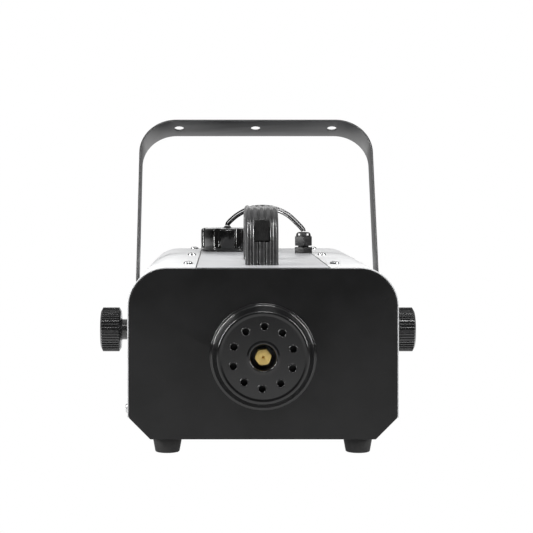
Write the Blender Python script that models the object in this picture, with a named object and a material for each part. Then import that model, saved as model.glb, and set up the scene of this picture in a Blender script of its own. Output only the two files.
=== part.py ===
"""Stage fog machine: housing, heater, pump, tank, yoke and fittings as separate pieces.

Lengths are in millimetres and every mesh is scaled to metres when it is made.
+Z is up, the front panel faces -Y, and the machine stands on its rubber feet at Z = 0.
Depths are measured behind the front panel's face and turned into Y by at_depth().
"""

import math

import bmesh
import bpy
from mathutils import Matrix, Vector

MM = 0.001
GAP = 0.3               # clearance that touching pieces keep

# Housing
DEPTH = 453.0           # front panel face to rear panel face
SHROUD_PROUD = 11.0     # how far the nozzle shroud stands in front of the panel
LAMP_HEIGHT = 5.4
REAR_PROUD = GAP + LAMP_HEIGHT      # the lamp is what stands furthest behind the rear panel
FRONT = SHROUD_PROUD - (DEPTH + SHROUD_PROUD + REAR_PROUD) / 2
REAR = FRONT + DEPTH
PANEL_HALF = 125.5
PANEL_TOP = 173.5
PANEL_CORNER = 35.5
BOTTOM = 14.0
CHAMFER = 20.0
SHEET = 1.2             # covers and top plate
PAN_SHEET = 1.5         # panels and base pan
COVER_HALF = PANEL_HALF + GAP + SHEET
TOP = PANEL_TOP + GAP + SHEET
COVER_CORNER = PANEL_CORNER + GAP + SHEET
SEAM = 63.0             # seams between the side covers and the top plate
PAN_FLANGE_TOP = 60.0
ARC_STEPS = 10

# Top side
FLANGE_HALF = 82.0      # the top plate's lowered flanges end here
HANDLE_WIDTH = 32.0
HANDLE_HEIGHT = 56.0
HANDLE_START = 37.0
HANDLE_LENGTH = 142.0
HANDLE_THICK = 21.0
HANDLE_HOLLOW = 10.0    # inside radius of the arch
POCKET_HALF, POCKET_DEEP = 9.0, 6.0
POCKET_LOW, POCKET_HIGH = 22.0, 44.0
CAP_X, CAP_DEPTH = -32.0, 376.0
CAP_RADIUS = 31.5
CAP_HEIGHT = 26.4
CAP_LOBES = 8
GLAND_X, GLAND_DEPTH = 54.0, 317.0

# Nozzle and heater
NOZZLE_Z = 91.5
SHROUD_RADIUS = 50.3
SHROUD_FACE_RADIUS = 44.6
SHROUD_HOLES = 10
SHROUD_HOLE_RADIUS = 3.2
SHROUD_HOLE_CIRCLE = 29.0
SHROUD_FIRST_HOLE = 88.0
SHROUD_MOUTH = 12.6
NOZZLE_FLATS = 14.0
NOZZLE_TURN = 8.0       # degrees
PANEL_BORE = 14.0
BLOCK_HALF = 25.0
BLOCK_START, BLOCK_END = 62.0, 242.0

# Yoke and its knobs
PIVOT_DEPTH = 226.5
PIVOT_Z = 96.5
YOKE_TILT = math.radians(26.0)
YOKE_REACH = 247.0      # pivot to the outer face of the cross bar
YOKE_STRAP = 37.0
YOKE_SHEET = 2.2
YOKE_OUTER = 131.5
YOKE_CORNER = 41.0
YOKE_HOLE_RADIUS = 5.75
YOKE_HOLE_PITCH = 87.4
KNOB_RADIUS = 23.6
KNOB_RIDGES = 45
KNOB_INNER, KNOB_OUTER = 146.8, 168.4
HUB_RADIUS = 11.0
STUD_RADIUS = 4.0
STUD_START = 112.0
WASHER_RADIUS, WASHER_THICK = 12.0, 1.5
PAD_RADIUS = 16.0

# Rear fittings stand in one column
FITTING_X = 80.0
INLET_Z, SWITCH_Z, REMOTE_Z = 52.0, 95.0, 133.0
LAMP_X, LAMP_Z = 50.0, 95.0

FOOT_X = 90.0
FOOT_DEPTHS = (18.0, 435.0)
HOSE_RADIUS = 1.8
LEAD_RADIUS = 0.95

COLOURS = {
    "black_paint": ((0.02, 0.02, 0.02), 0.45, 0.0),
    "light_paint": ((0.62, 0.63, 0.64), 0.35, 0.0),
    "black_plastic": ((0.02, 0.02, 0.02), 0.3, 0.0),
    "matte_black": ((0.03, 0.03, 0.03), 0.7, 0.0),
    "rubber": ((0.03, 0.03, 0.03), 0.85, 0.0),
    "brass": ((0.6, 0.42, 0.15), 0.35, 1.0),
    "steel": ((0.5, 0.5, 0.5), 0.35, 1.0),
    "aluminium": ((0.6, 0.6, 0.62), 0.4, 1.0),
    "copper": ((0.6, 0.3, 0.2), 0.35, 1.0),
    "tank_plastic": ((0.75, 0.76, 0.72), 0.5, 0.0),
    "fibre": ((0.7, 0.68, 0.6), 0.9, 0.0),
    "board_green": ((0.03, 0.15, 0.06), 0.5, 0.0),
    "lamp_red": ((0.6, 0.03, 0.02), 0.2, 0.0),
}


def at_depth(depth):
    """Y of a point that lies depth behind the front panel's face."""
    return FRONT + depth


# ---------------------------------------------------------------- making pieces

def clear_scene():
    for obj in list(bpy.data.objects):
        bpy.data.objects.remove(obj, do_unlink=True)


def material(name):
    found = bpy.data.materials.get(name)
    if found:
        return found
    colour, roughness, metallic = COLOURS[name]
    made = bpy.data.materials.new(name)
    made.use_nodes = True
    shader = made.node_tree.nodes["Principled BSDF"]
    shader.inputs["Base Color"].default_value = (*colour, 1.0)
    shader.inputs["Roughness"].default_value = roughness
    shader.inputs["Metallic"].default_value = metallic
    return made


def finish(name, bm, finish_name, smooth_angle=35.0):
    """Turn a millimetre bmesh into a metre object with its own material."""
    bmesh.ops.recalc_face_normals(bm, faces=bm.faces)
    bmesh.ops.scale(bm, vec=(MM, MM, MM), verts=bm.verts)
    mesh = bpy.data.meshes.new(name)
    bm.to_mesh(mesh)
    bm.free()
    mesh.shade_smooth()
    mesh.set_sharp_from_angle(angle=math.radians(smooth_angle))
    obj = bpy.data.objects.new(name, mesh)
    bpy.context.scene.collection.objects.link(obj)
    if finish_name:
        mesh.materials.append(material(finish_name))
    return obj


def prism_mesh(outline, axis, start, end):
    """Extrude a closed outline along X, Y or Z; its points are the other two axes in order."""
    bm = bmesh.new()

    def place(point, along):
        a, b = point
        return {"X": (along, a, b), "Y": (a, along, b), "Z": (a, b, along)}[axis]

    near = [bm.verts.new(place(p, start)) for p in outline]
    far = [bm.verts.new(place(p, end)) for p in outline]
    bm.faces.new(near)
    bm.faces.new(list(reversed(far)))
    for i in range(len(outline)):
        j = (i + 1) % len(outline)
        bm.faces.new((near[i], near[j], far[j], far[i]))
    return bm


def prism(name, outline, axis, start, end, finish_name):
    return finish(name, prism_mesh(outline, axis, start, end), finish_name)


def box(name, low, high, finish_name):
    outline = rectangle(low[0], high[0], low[1], high[1])
    return prism(name, outline, "Z", low[2], high[2], finish_name)


def turned(name, profile, centre, direction, finish_name, steps=32, ripple=None):
    """Spin a profile of (radius, height) points round an axis through centre.

    A profile that starts and ends on the axis makes a solid; any other closed profile makes a ring.
    ripple(angle, radius) may change a point's radius.
    """
    bm = bmesh.new()
    turn = Vector((0, 0, 1)).rotation_difference(Vector(direction)).to_matrix()
    middle = Vector(centre)
    rows = []
    for radius, height in profile:
        if radius == 0:
            rows.append([bm.verts.new(middle + turn @ Vector((0, 0, height)))])
            continue
        row = []
        for k in range(steps):
            angle = 2 * math.pi * k / steps
            r = ripple(angle, radius) if ripple else radius
            spot = Vector((r * math.cos(angle), r * math.sin(angle), height))
            row.append(bm.verts.new(middle + turn @ spot))
        rows.append(row)
    solid = profile[0][0] == 0
    count = len(rows)
    for i in range(count - 1 if solid else count):
        skin(bm, rows[i], rows[(i + 1) % count], steps)
    return finish(name, bm, finish_name)


def skin(bm, lower, upper, steps):
    """Faces between two rings; a ring of one vertex is a pole."""
    for k in range(steps):
        n = (k + 1) % steps
        if len(lower) == 1:
            bm.faces.new((lower[0], upper[k], upper[n]))
        elif len(upper) == 1:
            bm.faces.new((lower[k], upper[0], lower[n]))
        else:
            bm.faces.new((lower[k], lower[n], upper[n], upper[k]))


def combine(obj, other, operation):
    """Cut or join other, which stays in the file as a hidden guide."""
    other.hide_render = True
    other.display_type = "WIRE"
    modifier = obj.modifiers.new(other.name, "BOOLEAN")
    modifier.operation = operation
    modifier.solver = "EXACT"
    modifier.object = other


def cut(obj, *cutters):
    for cutter in cutters:
        combine(obj, cutter, "DIFFERENCE")


def unite(obj, *others):
    for other in others:
        combine(obj, other, "UNION")


def drill(obj, centre, direction, radius, length, steps=20):
    """Cut a round hole whose axis passes through centre, half the length to each side."""
    half = length / 2
    profile = [(0, half), (radius, half), (radius, -half), (0, -half)]
    name = f"{obj.name}_drill_{len(obj.modifiers)}"
    cut(obj, turned(name, profile, centre, direction, None, steps))


def mill(obj, low, high):
    """Cut a box-shaped opening."""
    cut(obj, box(f"{obj.name}_mill_{len(obj.modifiers)}", low, high, None))


def bevel(obj, width, segments=2, angle=40.0):
    modifier = obj.modifiers.new("edges", "BEVEL")
    modifier.width = width * MM
    modifier.segments = segments
    modifier.limit_method = "ANGLE"
    modifier.angle_limit = math.radians(angle)


def tube(name, points, radius, finish_name, spacing=2.5):
    """A round tube along a smooth curve through points."""
    curve = bpy.data.curves.new(name, "CURVE")
    curve.dimensions = "3D"
    curve.bevel_depth = radius * MM
    curve.bevel_resolution = 2
    curve.use_fill_caps = True
    curve.render_resolution_u = 0
    path = smooth_path(points, spacing * 2 * radius)
    spline = curve.splines.new("POLY")
    spline.points.add(len(path) - 1)
    for spot, point in zip(spline.points, path):
        spot.co = (*(point * MM), 1.0)
    curve.materials.append(material(finish_name))
    obj = bpy.data.objects.new(name, curve)
    bpy.context.scene.collection.objects.link(obj)
    return obj


def smooth_path(points, spacing):
    """Points about spacing apart on a Catmull-Rom curve through the given points."""
    knots = [Vector(p) for p in points]
    knots = [knots[0] * 2 - knots[1], *knots, knots[-1] * 2 - knots[-2]]
    path = [knots[1]]
    for a, b, c, d in zip(knots, knots[1:], knots[2:], knots[3:]):
        pieces = max(1, round((c - b).length / spacing))
        for k in range(1, pieces + 1):
            t = k / pieces
            spot = (2 * b + (c - a) * t + (2 * a - 5 * b + 4 * c - d) * t ** 2
                    + (3 * b - a - 3 * c + d) * t ** 3) / 2
            path.append(spot)
    return path


# ---------------------------------------------------------------- outlines

def rectangle(a_low, a_high, b_low, b_high):
    return [(a_low, b_low), (a_high, b_low), (a_high, b_high), (a_low, b_high)]


def arc(centre, radius, start, end, steps=ARC_STEPS):
    """Points on an arc, angles in degrees."""
    points = []
    for k in range(steps + 1):
        angle = math.radians(start + (end - start) * k / steps)
        points.append((centre[0] + radius * math.cos(angle), centre[1] + radius * math.sin(angle)))
    return points


def polygon(sides, flats, centre=(0.0, 0.0), turn=0.0):
    """A regular polygon, flats apart across its flats."""
    radius = flats / 2 / math.cos(math.pi / sides)
    points = []
    for k in range(sides):
        angle = math.radians(turn) + 2 * math.pi * k / sides
        points.append((centre[0] + radius * math.cos(angle), centre[1] + radius * math.sin(angle)))
    return points


def panel_outline():
    """The front's outline: bevelled lower corners, rounded upper ones."""
    corner_x = PANEL_HALF - PANEL_CORNER
    corner_z = PANEL_TOP - PANEL_CORNER
    low = PANEL_HALF - CHAMFER
    return [(-low, BOTTOM), (low, BOTTOM), (PANEL_HALF, BOTTOM + CHAMFER),
            *arc((corner_x, corner_z), PANEL_CORNER, 0, 90),
            *arc((-corner_x, corner_z), PANEL_CORNER, 90, 180),
            (-PANEL_HALF, BOTTOM + CHAMFER)]


def cover_outline(side):
    """Section of a side cover, from above the bevelled corner round to the seam."""
    x, z = COVER_HALF - COVER_CORNER, TOP - COVER_CORNER
    foot = BOTTOM + CHAMFER + GAP
    seam = SEAM + GAP
    outer = [(COVER_HALF, foot), *arc((x, z), COVER_CORNER, 0, 90), (seam, TOP)]
    inner = [(seam, TOP - SHEET), *arc((x, z), COVER_CORNER - SHEET, 90, 0), (COVER_HALF - SHEET, foot)]
    return [(side * a, b) for a, b in outer + inner]


def pan_outline():
    """Section of the base pan: flat floor, bevelled corners, upright flanges."""
    floor = PANEL_HALF - CHAMFER
    inset = PAN_SHEET * math.tan(math.radians(22.5))
    right = [(floor, BOTTOM), (PANEL_HALF, BOTTOM + CHAMFER), (PANEL_HALF, PAN_FLANGE_TOP),
             (PANEL_HALF - PAN_SHEET, PAN_FLANGE_TOP),
             (PANEL_HALF - PAN_SHEET, BOTTOM + CHAMFER + inset), (floor - inset, BOTTOM + PAN_SHEET)]
    return right + [(-a, b) for a, b in reversed(right)]


# ---------------------------------------------------------------- housing

def make_front_panel():
    panel = prism("front_panel", panel_outline(), "Y", FRONT, FRONT + PAN_SHEET, "black_paint")
    drill(panel, (0, FRONT, NOZZLE_Z), (0, 1, 0), PANEL_BORE, 8.0, 32)


def make_rear_panel():
    panel = prism("rear_panel", panel_outline(), "Y", REAR - PAN_SHEET, REAR, "black_paint")
    reach = (REAR - 5, REAR + 5)
    for z, half_x, half_z in ((INLET_Z, 14.2, 19.2), (SWITCH_Z, 13.7, 11.2)):
        mill(panel, (FITTING_X - half_x, reach[0], z - half_z), (FITTING_X + half_x, reach[1], z + half_z))
    drill(panel, (FITTING_X, REAR, REMOTE_Z), (0, 1, 0), 10.8, 10.0, 32)
    drill(panel, (LAMP_X, REAR, LAMP_Z), (0, 1, 0), 4.1, 10.0)
    slot_pitch, slot_height = 11.0, 4.0
    for row in range(5):
        z = 70.0 + row * slot_pitch
        mill(panel, (-96.0, reach[0], z), (-36.0, reach[1], z + slot_height))


def make_base_pan():
    pan = prism("base_pan", pan_outline(), "Y", FRONT + PAN_SHEET + GAP, REAR - PAN_SHEET - GAP, "black_paint")
    for row in range(6):
        y = at_depth(90.0 + row * 22.0)
        mill(pan, (-30.0, y, BOTTOM - 2), (30.0, y + 6.0, BOTTOM + 4))


def make_covers():
    for name, side in (("left_cover", -1), ("right_cover", 1)):
        cover = prism(name, cover_outline(side), "Y", FRONT + 0.4, REAR - 0.4, "light_paint")
        drill(cover, (side * COVER_HALF, at_depth(PIVOT_DEPTH), PIVOT_Z), (1, 0, 0), STUD_RADIUS + 1.0, 8.0)


def make_top_plate():
    """Centre plate with a lowered flange under each side cover."""
    flange_top = TOP - SHEET - GAP
    web = SEAM - GAP
    right = [(web - SHEET, TOP - SHEET), (web - SHEET, flange_top - SHEET), (FLANGE_HALF, flange_top - SHEET),
             (FLANGE_HALF, flange_top), (web, flange_top), (web, TOP)]
    outline = right + [(-x, z) for x, z in reversed(right)]
    start, end = FRONT + PAN_SHEET + GAP, REAR - PAN_SHEET - GAP
    plate = prism("top_plate", outline, "Y", start, end, "light_paint")
    drill(plate, (CAP_X, at_depth(CAP_DEPTH), TOP), (0, 0, 1), 25.0, 8.0, 40)
    drill(plate, (GLAND_X, at_depth(GLAND_DEPTH), TOP), (0, 0, 1), 5.9, 8.0, 24)


def make_feet():
    profile = [(0, 0), (10.5, 0), (11.5, 1.2), (14.0, BOTTOM - GAP), (0, BOTTOM - GAP)]
    for row, depth in zip(("front", "rear"), FOOT_DEPTHS):
        for side, x in (("left", -FOOT_X), ("right", FOOT_X)):
            turned(f"foot_{row}_{side}", profile, (x, at_depth(depth), 0), (0, 0, 1), "rubber", 28)


def make_handle():
    """Moulded arch that runs front to back, with a finger opening under the grip."""
    base = TOP + GAP
    top = base + HANDLE_HEIGHT
    front, back = at_depth(HANDLE_START), at_depth(HANDLE_START + HANDLE_LENGTH)
    hollow, bend = HANDLE_HOLLOW, HANDLE_HOLLOW + HANDLE_THICK
    inner_front, inner_back = front + HANDLE_THICK, back - HANDLE_THICK
    inner_top = top - HANDLE_THICK
    outline = [(front, base), *reversed(arc((front + bend, top - bend), bend, 90, 180)),
               *reversed(arc((back - bend, top - bend), bend, 0, 90)), (back, base), (inner_back, base),
               *arc((inner_back - hollow, inner_top - hollow), hollow, 0, 90, 6),
               *arc((inner_front + hollow, inner_top - hollow), hollow, 90, 180, 6), (inner_front, base)]
    half = HANDLE_WIDTH / 2
    handle = prism("handle", outline, "X", -half, half, "black_plastic")
    bevel(handle, 3.0, 2, 60.0)
    low, high = base + POCKET_LOW, base + POCKET_HIGH
    mill(handle, (-POCKET_HALF, front - 5, low), (POCKET_HALF, front + POCKET_DEEP, high))
    mill(handle, (-POCKET_HALF, back - POCKET_DEEP, low), (POCKET_HALF, back + 5, high))


# ---------------------------------------------------------------- nozzle and heater

def make_shroud():
    """Round cover with a tapered wall, vent holes and a rolled mouth round the nozzle."""
    face, sheet = -SHROUD_PROUD, 1.7
    outer = [(SHROUD_RADIUS, -GAP), (SHROUD_RADIUS, -2.0), (SHROUD_RADIUS - 1.0, -2.9), (SHROUD_RADIUS - 2.6, -3.3),
             (SHROUD_FACE_RADIUS + 0.6, face + 2.4), (SHROUD_FACE_RADIUS, face + 1.2),
             (SHROUD_FACE_RADIUS - 0.8, face + 0.4), (SHROUD_FACE_RADIUS - 2.0, face)]
    mouth = [(SHROUD_MOUTH + 1.6, face), (SHROUD_MOUTH + 0.4, face + 0.5), (SHROUD_MOUTH, face + 1.6),
             (SHROUD_MOUTH, face + 4.0), (SHROUD_MOUTH + 1.6, face + 4.0), (SHROUD_MOUTH + 1.6, face + sheet)]
    inner = [(SHROUD_FACE_RADIUS - 2.8, face + sheet), (SHROUD_RADIUS - 4.6, -3.4), (SHROUD_RADIUS - 1.8, -GAP)]
    profile = outer + mouth + inner
    shroud = turned("nozzle_shroud", profile, (0, FRONT, NOZZLE_Z), (0, 1, 0), "black_paint", 48)
    for k in range(SHROUD_HOLES):
        angle = math.radians(SHROUD_FIRST_HOLE + 360.0 * k / SHROUD_HOLES)
        x = SHROUD_HOLE_CIRCLE * math.cos(angle)
        z = NOZZLE_Z + SHROUD_HOLE_CIRCLE * math.sin(angle)
        drill(shroud, (x, FRONT + face, z), (0, 1, 0), SHROUD_HOLE_RADIUS, 8.0, 12)


def make_nozzle():
    """Hexagonal brass nozzle with a fine jet, screwed on the heater's outlet pipe."""
    tip, shoulder, tail = FRONT - 6.0, FRONT + 6.0, FRONT + 14.0
    nozzle = prism("nozzle", polygon(6, NOZZLE_FLATS, (0, NOZZLE_Z), NOZZLE_TURN), "Y", tip, shoulder, "brass")
    bevel(nozzle, 0.6, 1)
    profile = [(0, -tail), (5.0, -tail), (5.0, -shoulder + 2), (0, -shoulder + 2)]
    unite(nozzle, turned("nozzle_thread", profile, (0, 0, NOZZLE_Z), (0, -1, 0), None, 20))
    drill(nozzle, (0, FRONT, NOZZLE_Z), (0, 1, 0), 0.8, 60.0, 10)
    start, end = tail + GAP, at_depth(BLOCK_START) - GAP
    pipe = [(1.5, start), (5.0, start), (5.0, end), (1.5, end)]
    turned("nozzle_pipe", pipe, (0, 0, NOZZLE_Z), (0, 1, 0), "steel", 20)


def make_heater():
    """Cast block, its fibre sleeve and the two sheet saddles that carry it."""
    start, end = at_depth(BLOCK_START), at_depth(BLOCK_END)
    low, high = NOZZLE_Z - BLOCK_HALF, NOZZLE_Z + BLOCK_HALF
    block = box("heater_block", (-BLOCK_HALF, start, low), (BLOCK_HALF, end, high), "aluminium")
    bevel(block, 2.0, 1)
    thick, hug = 11.0, GAP
    sleeve_low = (-BLOCK_HALF - thick, start + 14, low - thick)
    sleeve_high = (BLOCK_HALF + thick, end - 30, high + thick)
    sleeve = box("heater_insulation", sleeve_low, sleeve_high, "fibre")
    mill(sleeve, (-BLOCK_HALF - hug, start, low - hug), (BLOCK_HALF + hug, end, high + hug))
    floor = BOTTOM + PAN_SHEET + GAP
    for name, y, toe in (("heater_bracket_front", start + 5, -14.0), ("heater_bracket_rear", end - 8, 14.0)):
        web = sorted((y, y + math.copysign(PAN_SHEET, toe)))
        foot = sorted((y, y + toe))
        plate = box(name, (-38, web[0], floor), (38, web[1], high + 8), "steel")
        unite(plate, box(name + "_toe", (-38, foot[0], floor), (38, foot[1], floor + PAN_SHEET), None))
        mill(plate, (-BLOCK_HALF - hug, y - 20, low - hug), (BLOCK_HALF + hug, y + 20, high + hug))
    top = high + GAP
    for name, x in (("thermostat", -12.0), ("thermal_fuse", 12.0)):
        can = [(0, 0), (7.5, 0), (7.5, 4.0), (5.5, 4.6), (5.5, 9.0), (0, 9.0)]
        turned(name, can, (x, end - 19, top), (0, 0, 1), "steel", 20)


# ---------------------------------------------------------------- pump

PUMP_X, PUMP_Z, PUMP_DEPTH = 88.0, 48.0, 226.5


def make_pump():
    """Oscillating piston pump: coil, barrel, plunger, return spring and bracket."""
    middle = (PUMP_X, at_depth(PUMP_DEPTH), PUMP_Z)
    y = middle[1]
    coil = box("pump_coil", (PUMP_X - 19, y, PUMP_Z - 19), (PUMP_X + 19, y + 46, PUMP_Z + 19), "matte_black")
    bevel(coil, 2.0, 1)
    drill(coil, middle, (0, 1, 0), 9.6, 140.0, 24)
    barrel = [(3, -30), (3, -16), (9.2, -12), (9.2, 62), (3, 66), (3, 80),
              (1.2, 80), (1.2, 64), (5.5, 61), (5.5, -11), (1.2, -14), (1.2, -30)]
    turned("pump_barrel", barrel, middle, (0, 1, 0), "brass", 16)
    plunger = [(1.2, 8), (5.1, 8), (5.1, 40), (1.2, 40)]
    turned("pump_plunger", plunger, middle, (0, 1, 0), "steel", 20)
    turns, per_turn, first, last = 5, 9, 42.3, 58.7
    coil_points = []
    for k in range(turns * per_turn + 1):
        angle = 2 * math.pi * k / per_turn
        along = first + (last - first) * k / (turns * per_turn)
        coil_points.append((PUMP_X + 4.2 * math.cos(angle), y + along, PUMP_Z + 4.2 * math.sin(angle)))
    tube("pump_spring", coil_points, 0.45, "steel", 3.0)
    floor = BOTTOM + PAN_SHEET + GAP
    plate = [(y + 2, floor), (y + 50.3, floor), (y + 50.3, PUMP_Z + 16), (y + 48.8, PUMP_Z + 16),
             (y + 48.8, floor + PAN_SHEET), (y + 2, floor + PAN_SHEET)]
    bracket = prism("pump_bracket", plate, "X", PUMP_X - 16, PUMP_X + 16, "steel")
    drill(bracket, (PUMP_X, y + 50, PUMP_Z), (0, 1, 0), 9.6, 12.0, 24)
    start_y, end_y = y - 30 - GAP, at_depth(BLOCK_END) + GAP
    inlet_z = NOZZLE_Z - 11.0
    feed = [(PUMP_X, start_y, PUMP_Z), (PUMP_X, start_y - 12, PUMP_Z + 2), (PUMP_X - 16, start_y - 20, PUMP_Z + 12),
            (54, start_y, inlet_z - 8), (50, end_y, inlet_z), (40, end_y + 24, inlet_z),
            (14, end_y + 30, inlet_z), (1, end_y + 15, inlet_z), (0, end_y, inlet_z)]
    tube("feed_tube", feed, 2.0, "copper")


# ---------------------------------------------------------------- tank, cap and hoses

TANK_LOW_X, TANK_HIGH_X = -103.0, 34.0
TANK_START, TANK_END = 306.0, 444.0
TANK_FLOOR, TANK_ROOF = 18.0, 150.0
TANK_WALL = 3.0
NECK_RADIUS, NECK_BORE, NECK_TOP = 24.0, 20.0, 190.5
CAP_BASE = TOP + 0.5
CAP_TOP = CAP_BASE + CAP_HEIGHT


def make_tank():
    low = (TANK_LOW_X, at_depth(TANK_START), TANK_FLOOR)
    high = (TANK_HIGH_X, at_depth(TANK_END), TANK_ROOF)
    tank = box("fluid_tank", low, high, "tank_plastic")
    bevel(tank, 7.0, 2)
    neck_centre = (CAP_X, at_depth(CAP_DEPTH), 0)
    neck = [(0, NECK_TOP), (NECK_RADIUS, NECK_TOP), (NECK_RADIUS, TANK_ROOF - 2), (0, TANK_ROOF - 2)]
    unite(tank, turned("fluid_tank_neck", neck, neck_centre, (0, 0, 1), None, 40))
    mill(tank, [a + TANK_WALL for a in low], [b - TANK_WALL for b in high])
    bore_length = 2 * (NECK_TOP - TANK_ROOF + 2 * TANK_WALL)
    drill(tank, (CAP_X, at_depth(CAP_DEPTH), NECK_TOP), (0, 0, 1), NECK_BORE, bore_length, 36)


def lobed(angle, radius):
    """Pull the outer wall in between the cap's lobes."""
    if radius < CAP_RADIUS - 4:
        return radius
    phase = (angle * CAP_LOBES / (2 * math.pi) + 0.5) % 1.0
    in_groove = abs(phase - 0.5) > 0.34
    return radius - (3.0 if in_groove else 0.0)


def make_cap():
    """Lobed screw cap over the tank's neck, its seal and the hose fitting through it."""
    centre = (CAP_X, at_depth(CAP_DEPTH), 0)
    outer = [(CAP_RADIUS - 0.5, CAP_BASE + 0.4), (CAP_RADIUS - 0.5, CAP_TOP - 3.0), (CAP_RADIUS - 1.6, CAP_TOP - 0.8),
             (CAP_RADIUS - 3.6, CAP_TOP), (5.4, CAP_TOP)]
    inner = [(5.4, CAP_TOP - 2.0), (3.8, CAP_TOP - 2.0), (3.8, CAP_TOP - 7.0), (25.6, CAP_TOP - 7.0),
             (25.6, CAP_BASE + 0.4)]
    turned("tank_cap", outer + inner, centre, (0, 0, 1), "black_plastic", 80, lobed)
    seal_top = CAP_TOP - 7.0 - GAP
    seal = [(NECK_BORE, NECK_TOP + GAP), (25.2, NECK_TOP + GAP), (25.2, seal_top), (NECK_BORE, seal_top)]
    turned("cap_seal", seal, centre, (0, 0, 1), "rubber", 36)
    fitting = [(1.2, CAP_TOP + 2.4), (3.6, CAP_TOP + 2.4), (4.9, CAP_TOP + 0.6), (4.9, CAP_TOP - 1.7),
               (3.4, CAP_TOP - 1.7), (3.4, CAP_TOP - 12.0), (1.2, CAP_TOP - 12.0)]
    turned("cap_hose_fitting", fitting, centre, (0, 0, 1), "matte_black", 24)
    tube_top, tube_end = CAP_TOP - 12.0 - GAP, 38.0
    pickup = [(1.4, tube_top), (2.4, tube_top), (2.4, tube_end), (1.4, tube_end)]
    turned("pickup_tube", pickup, centre, (0, 0, 1), "tank_plastic", 16)
    weight = [(0, 24), (6.5, 24), (7.5, 26), (7.5, 35), (5, tube_end - GAP), (0, tube_end - GAP)]
    turned("pickup_filter", weight, centre, (0, 0, 1), "brass", 16)


def loop_route(inward_step):
    """Route of the hose over the housing; inward_step shifts it towards the inside of the loop."""
    start = Vector((CAP_X, at_depth(CAP_DEPTH), CAP_TOP + 2.4 + 2 * GAP))
    end = Vector((GLAND_X, at_depth(GLAND_DEPTH), 199.8))
    shape = ((0.0, 0.0), (0.006, 2.0), (0.05, 6.4), (0.13, 12.6), (0.24, 18.6), (0.36, 22.3), (0.48, 23.8),
             (0.60, 23.3), (0.71, 20.9), (0.81, 16.6), (0.89, 10.8), (0.955, 5.4), (0.994, 1.6), (1.0, 0.0))
    middle = [start.lerp(end, share) + Vector((0, 0, rise)) for share, rise in shape]
    across = (end - start).cross(Vector((0, 0, 1))).normalized()
    points = []
    for k, point in enumerate(middle):
        along = middle[min(k + 1, len(middle) - 1)] - middle[max(k - 1, 0)]
        if k in (0, len(middle) - 1):
            along = Vector((0, 0, 1 if k == 0 else -1))
        points.append(point + inward_step * along.cross(across).normalized())
    return points


def make_hoses():
    apart = HOSE_RADIUS + LEAD_RADIUS + 2 * GAP
    outer_share = 0.35
    tube("fluid_hose", loop_route(outer_share * apart), HOSE_RADIUS, "matte_black", 1.2)
    tube("level_lead", loop_route((outer_share - 1) * apart), LEAD_RADIUS, "matte_black", 2.2)
    gland_y, pump_y = at_depth(GLAND_DEPTH), at_depth(PUMP_DEPTH) + 80 + GAP
    inner = [(GLAND_X, gland_y, 159.5), (GLAND_X, gland_y, 145), (58, gland_y + 6, 120), (72, gland_y + 8, 88),
             (85, gland_y + 12, 62), (PUMP_X, gland_y + 6, 50), (PUMP_X, pump_y + 4, PUMP_Z), (PUMP_X, pump_y, PUMP_Z)]
    tube("inner_hose", inner, HOSE_RADIUS, "matte_black")


def make_gland():
    """Cable gland through the top plate: body, dome nut and the nut underneath."""
    centre = (GLAND_X, at_depth(GLAND_DEPTH), 0)
    flat_centre = (centre[0], centre[1])
    base = TOP + GAP
    body = prism("gland_body", polygon(6, 19.0, flat_centre, 30.0), "Z", base, base + 6.3, "matte_black")
    stem = [(0, base + 13.0), (6.0, base + 13.0), (6.0, base + 5.0), (0, base + 5.0)]
    thread = [(0, base + 2.0), (5.4, base + 2.0), (5.4, base - 15.0), (0, base - 15.0)]
    unite(body, turned("gland_stem", stem, centre, (0, 0, 1), None, 24),
          turned("gland_thread", thread, centre, (0, 0, 1), None, 24))
    drill(body, (centre[0], centre[1], base), (0, 0, 1), 3.4, 60.0, 20)
    low = base + 8.1
    nut = prism("gland_nut", polygon(6, 18.6, flat_centre, 30.0), "Z", low, low + 10.5, "matte_black")
    dome = [(0, low + 15.4), (4.6, low + 15.4), (7.2, low + 14.2), (8.4, low + 11.8), (8.6, low + 9.0), (0, low + 9.0)]
    unite(nut, turned("gland_dome", dome, centre, (0, 0, 1), None, 24))
    drill(nut, (centre[0], centre[1], low), (0, 0, 1), 6.4, 14.0, 24)
    drill(nut, (centre[0], centre[1], low), (0, 0, 1), 3.4, 60.0, 20)
    under = TOP - SHEET - GAP
    lock = prism("gland_locknut", polygon(6, 14.4, flat_centre, 30.0), "Z", under - 5.0, under, "matte_black")
    drill(lock, (centre[0], centre[1], under), (0, 0, 1), 5.8, 30.0, 24)


# ---------------------------------------------------------------- yoke and knobs

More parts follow.
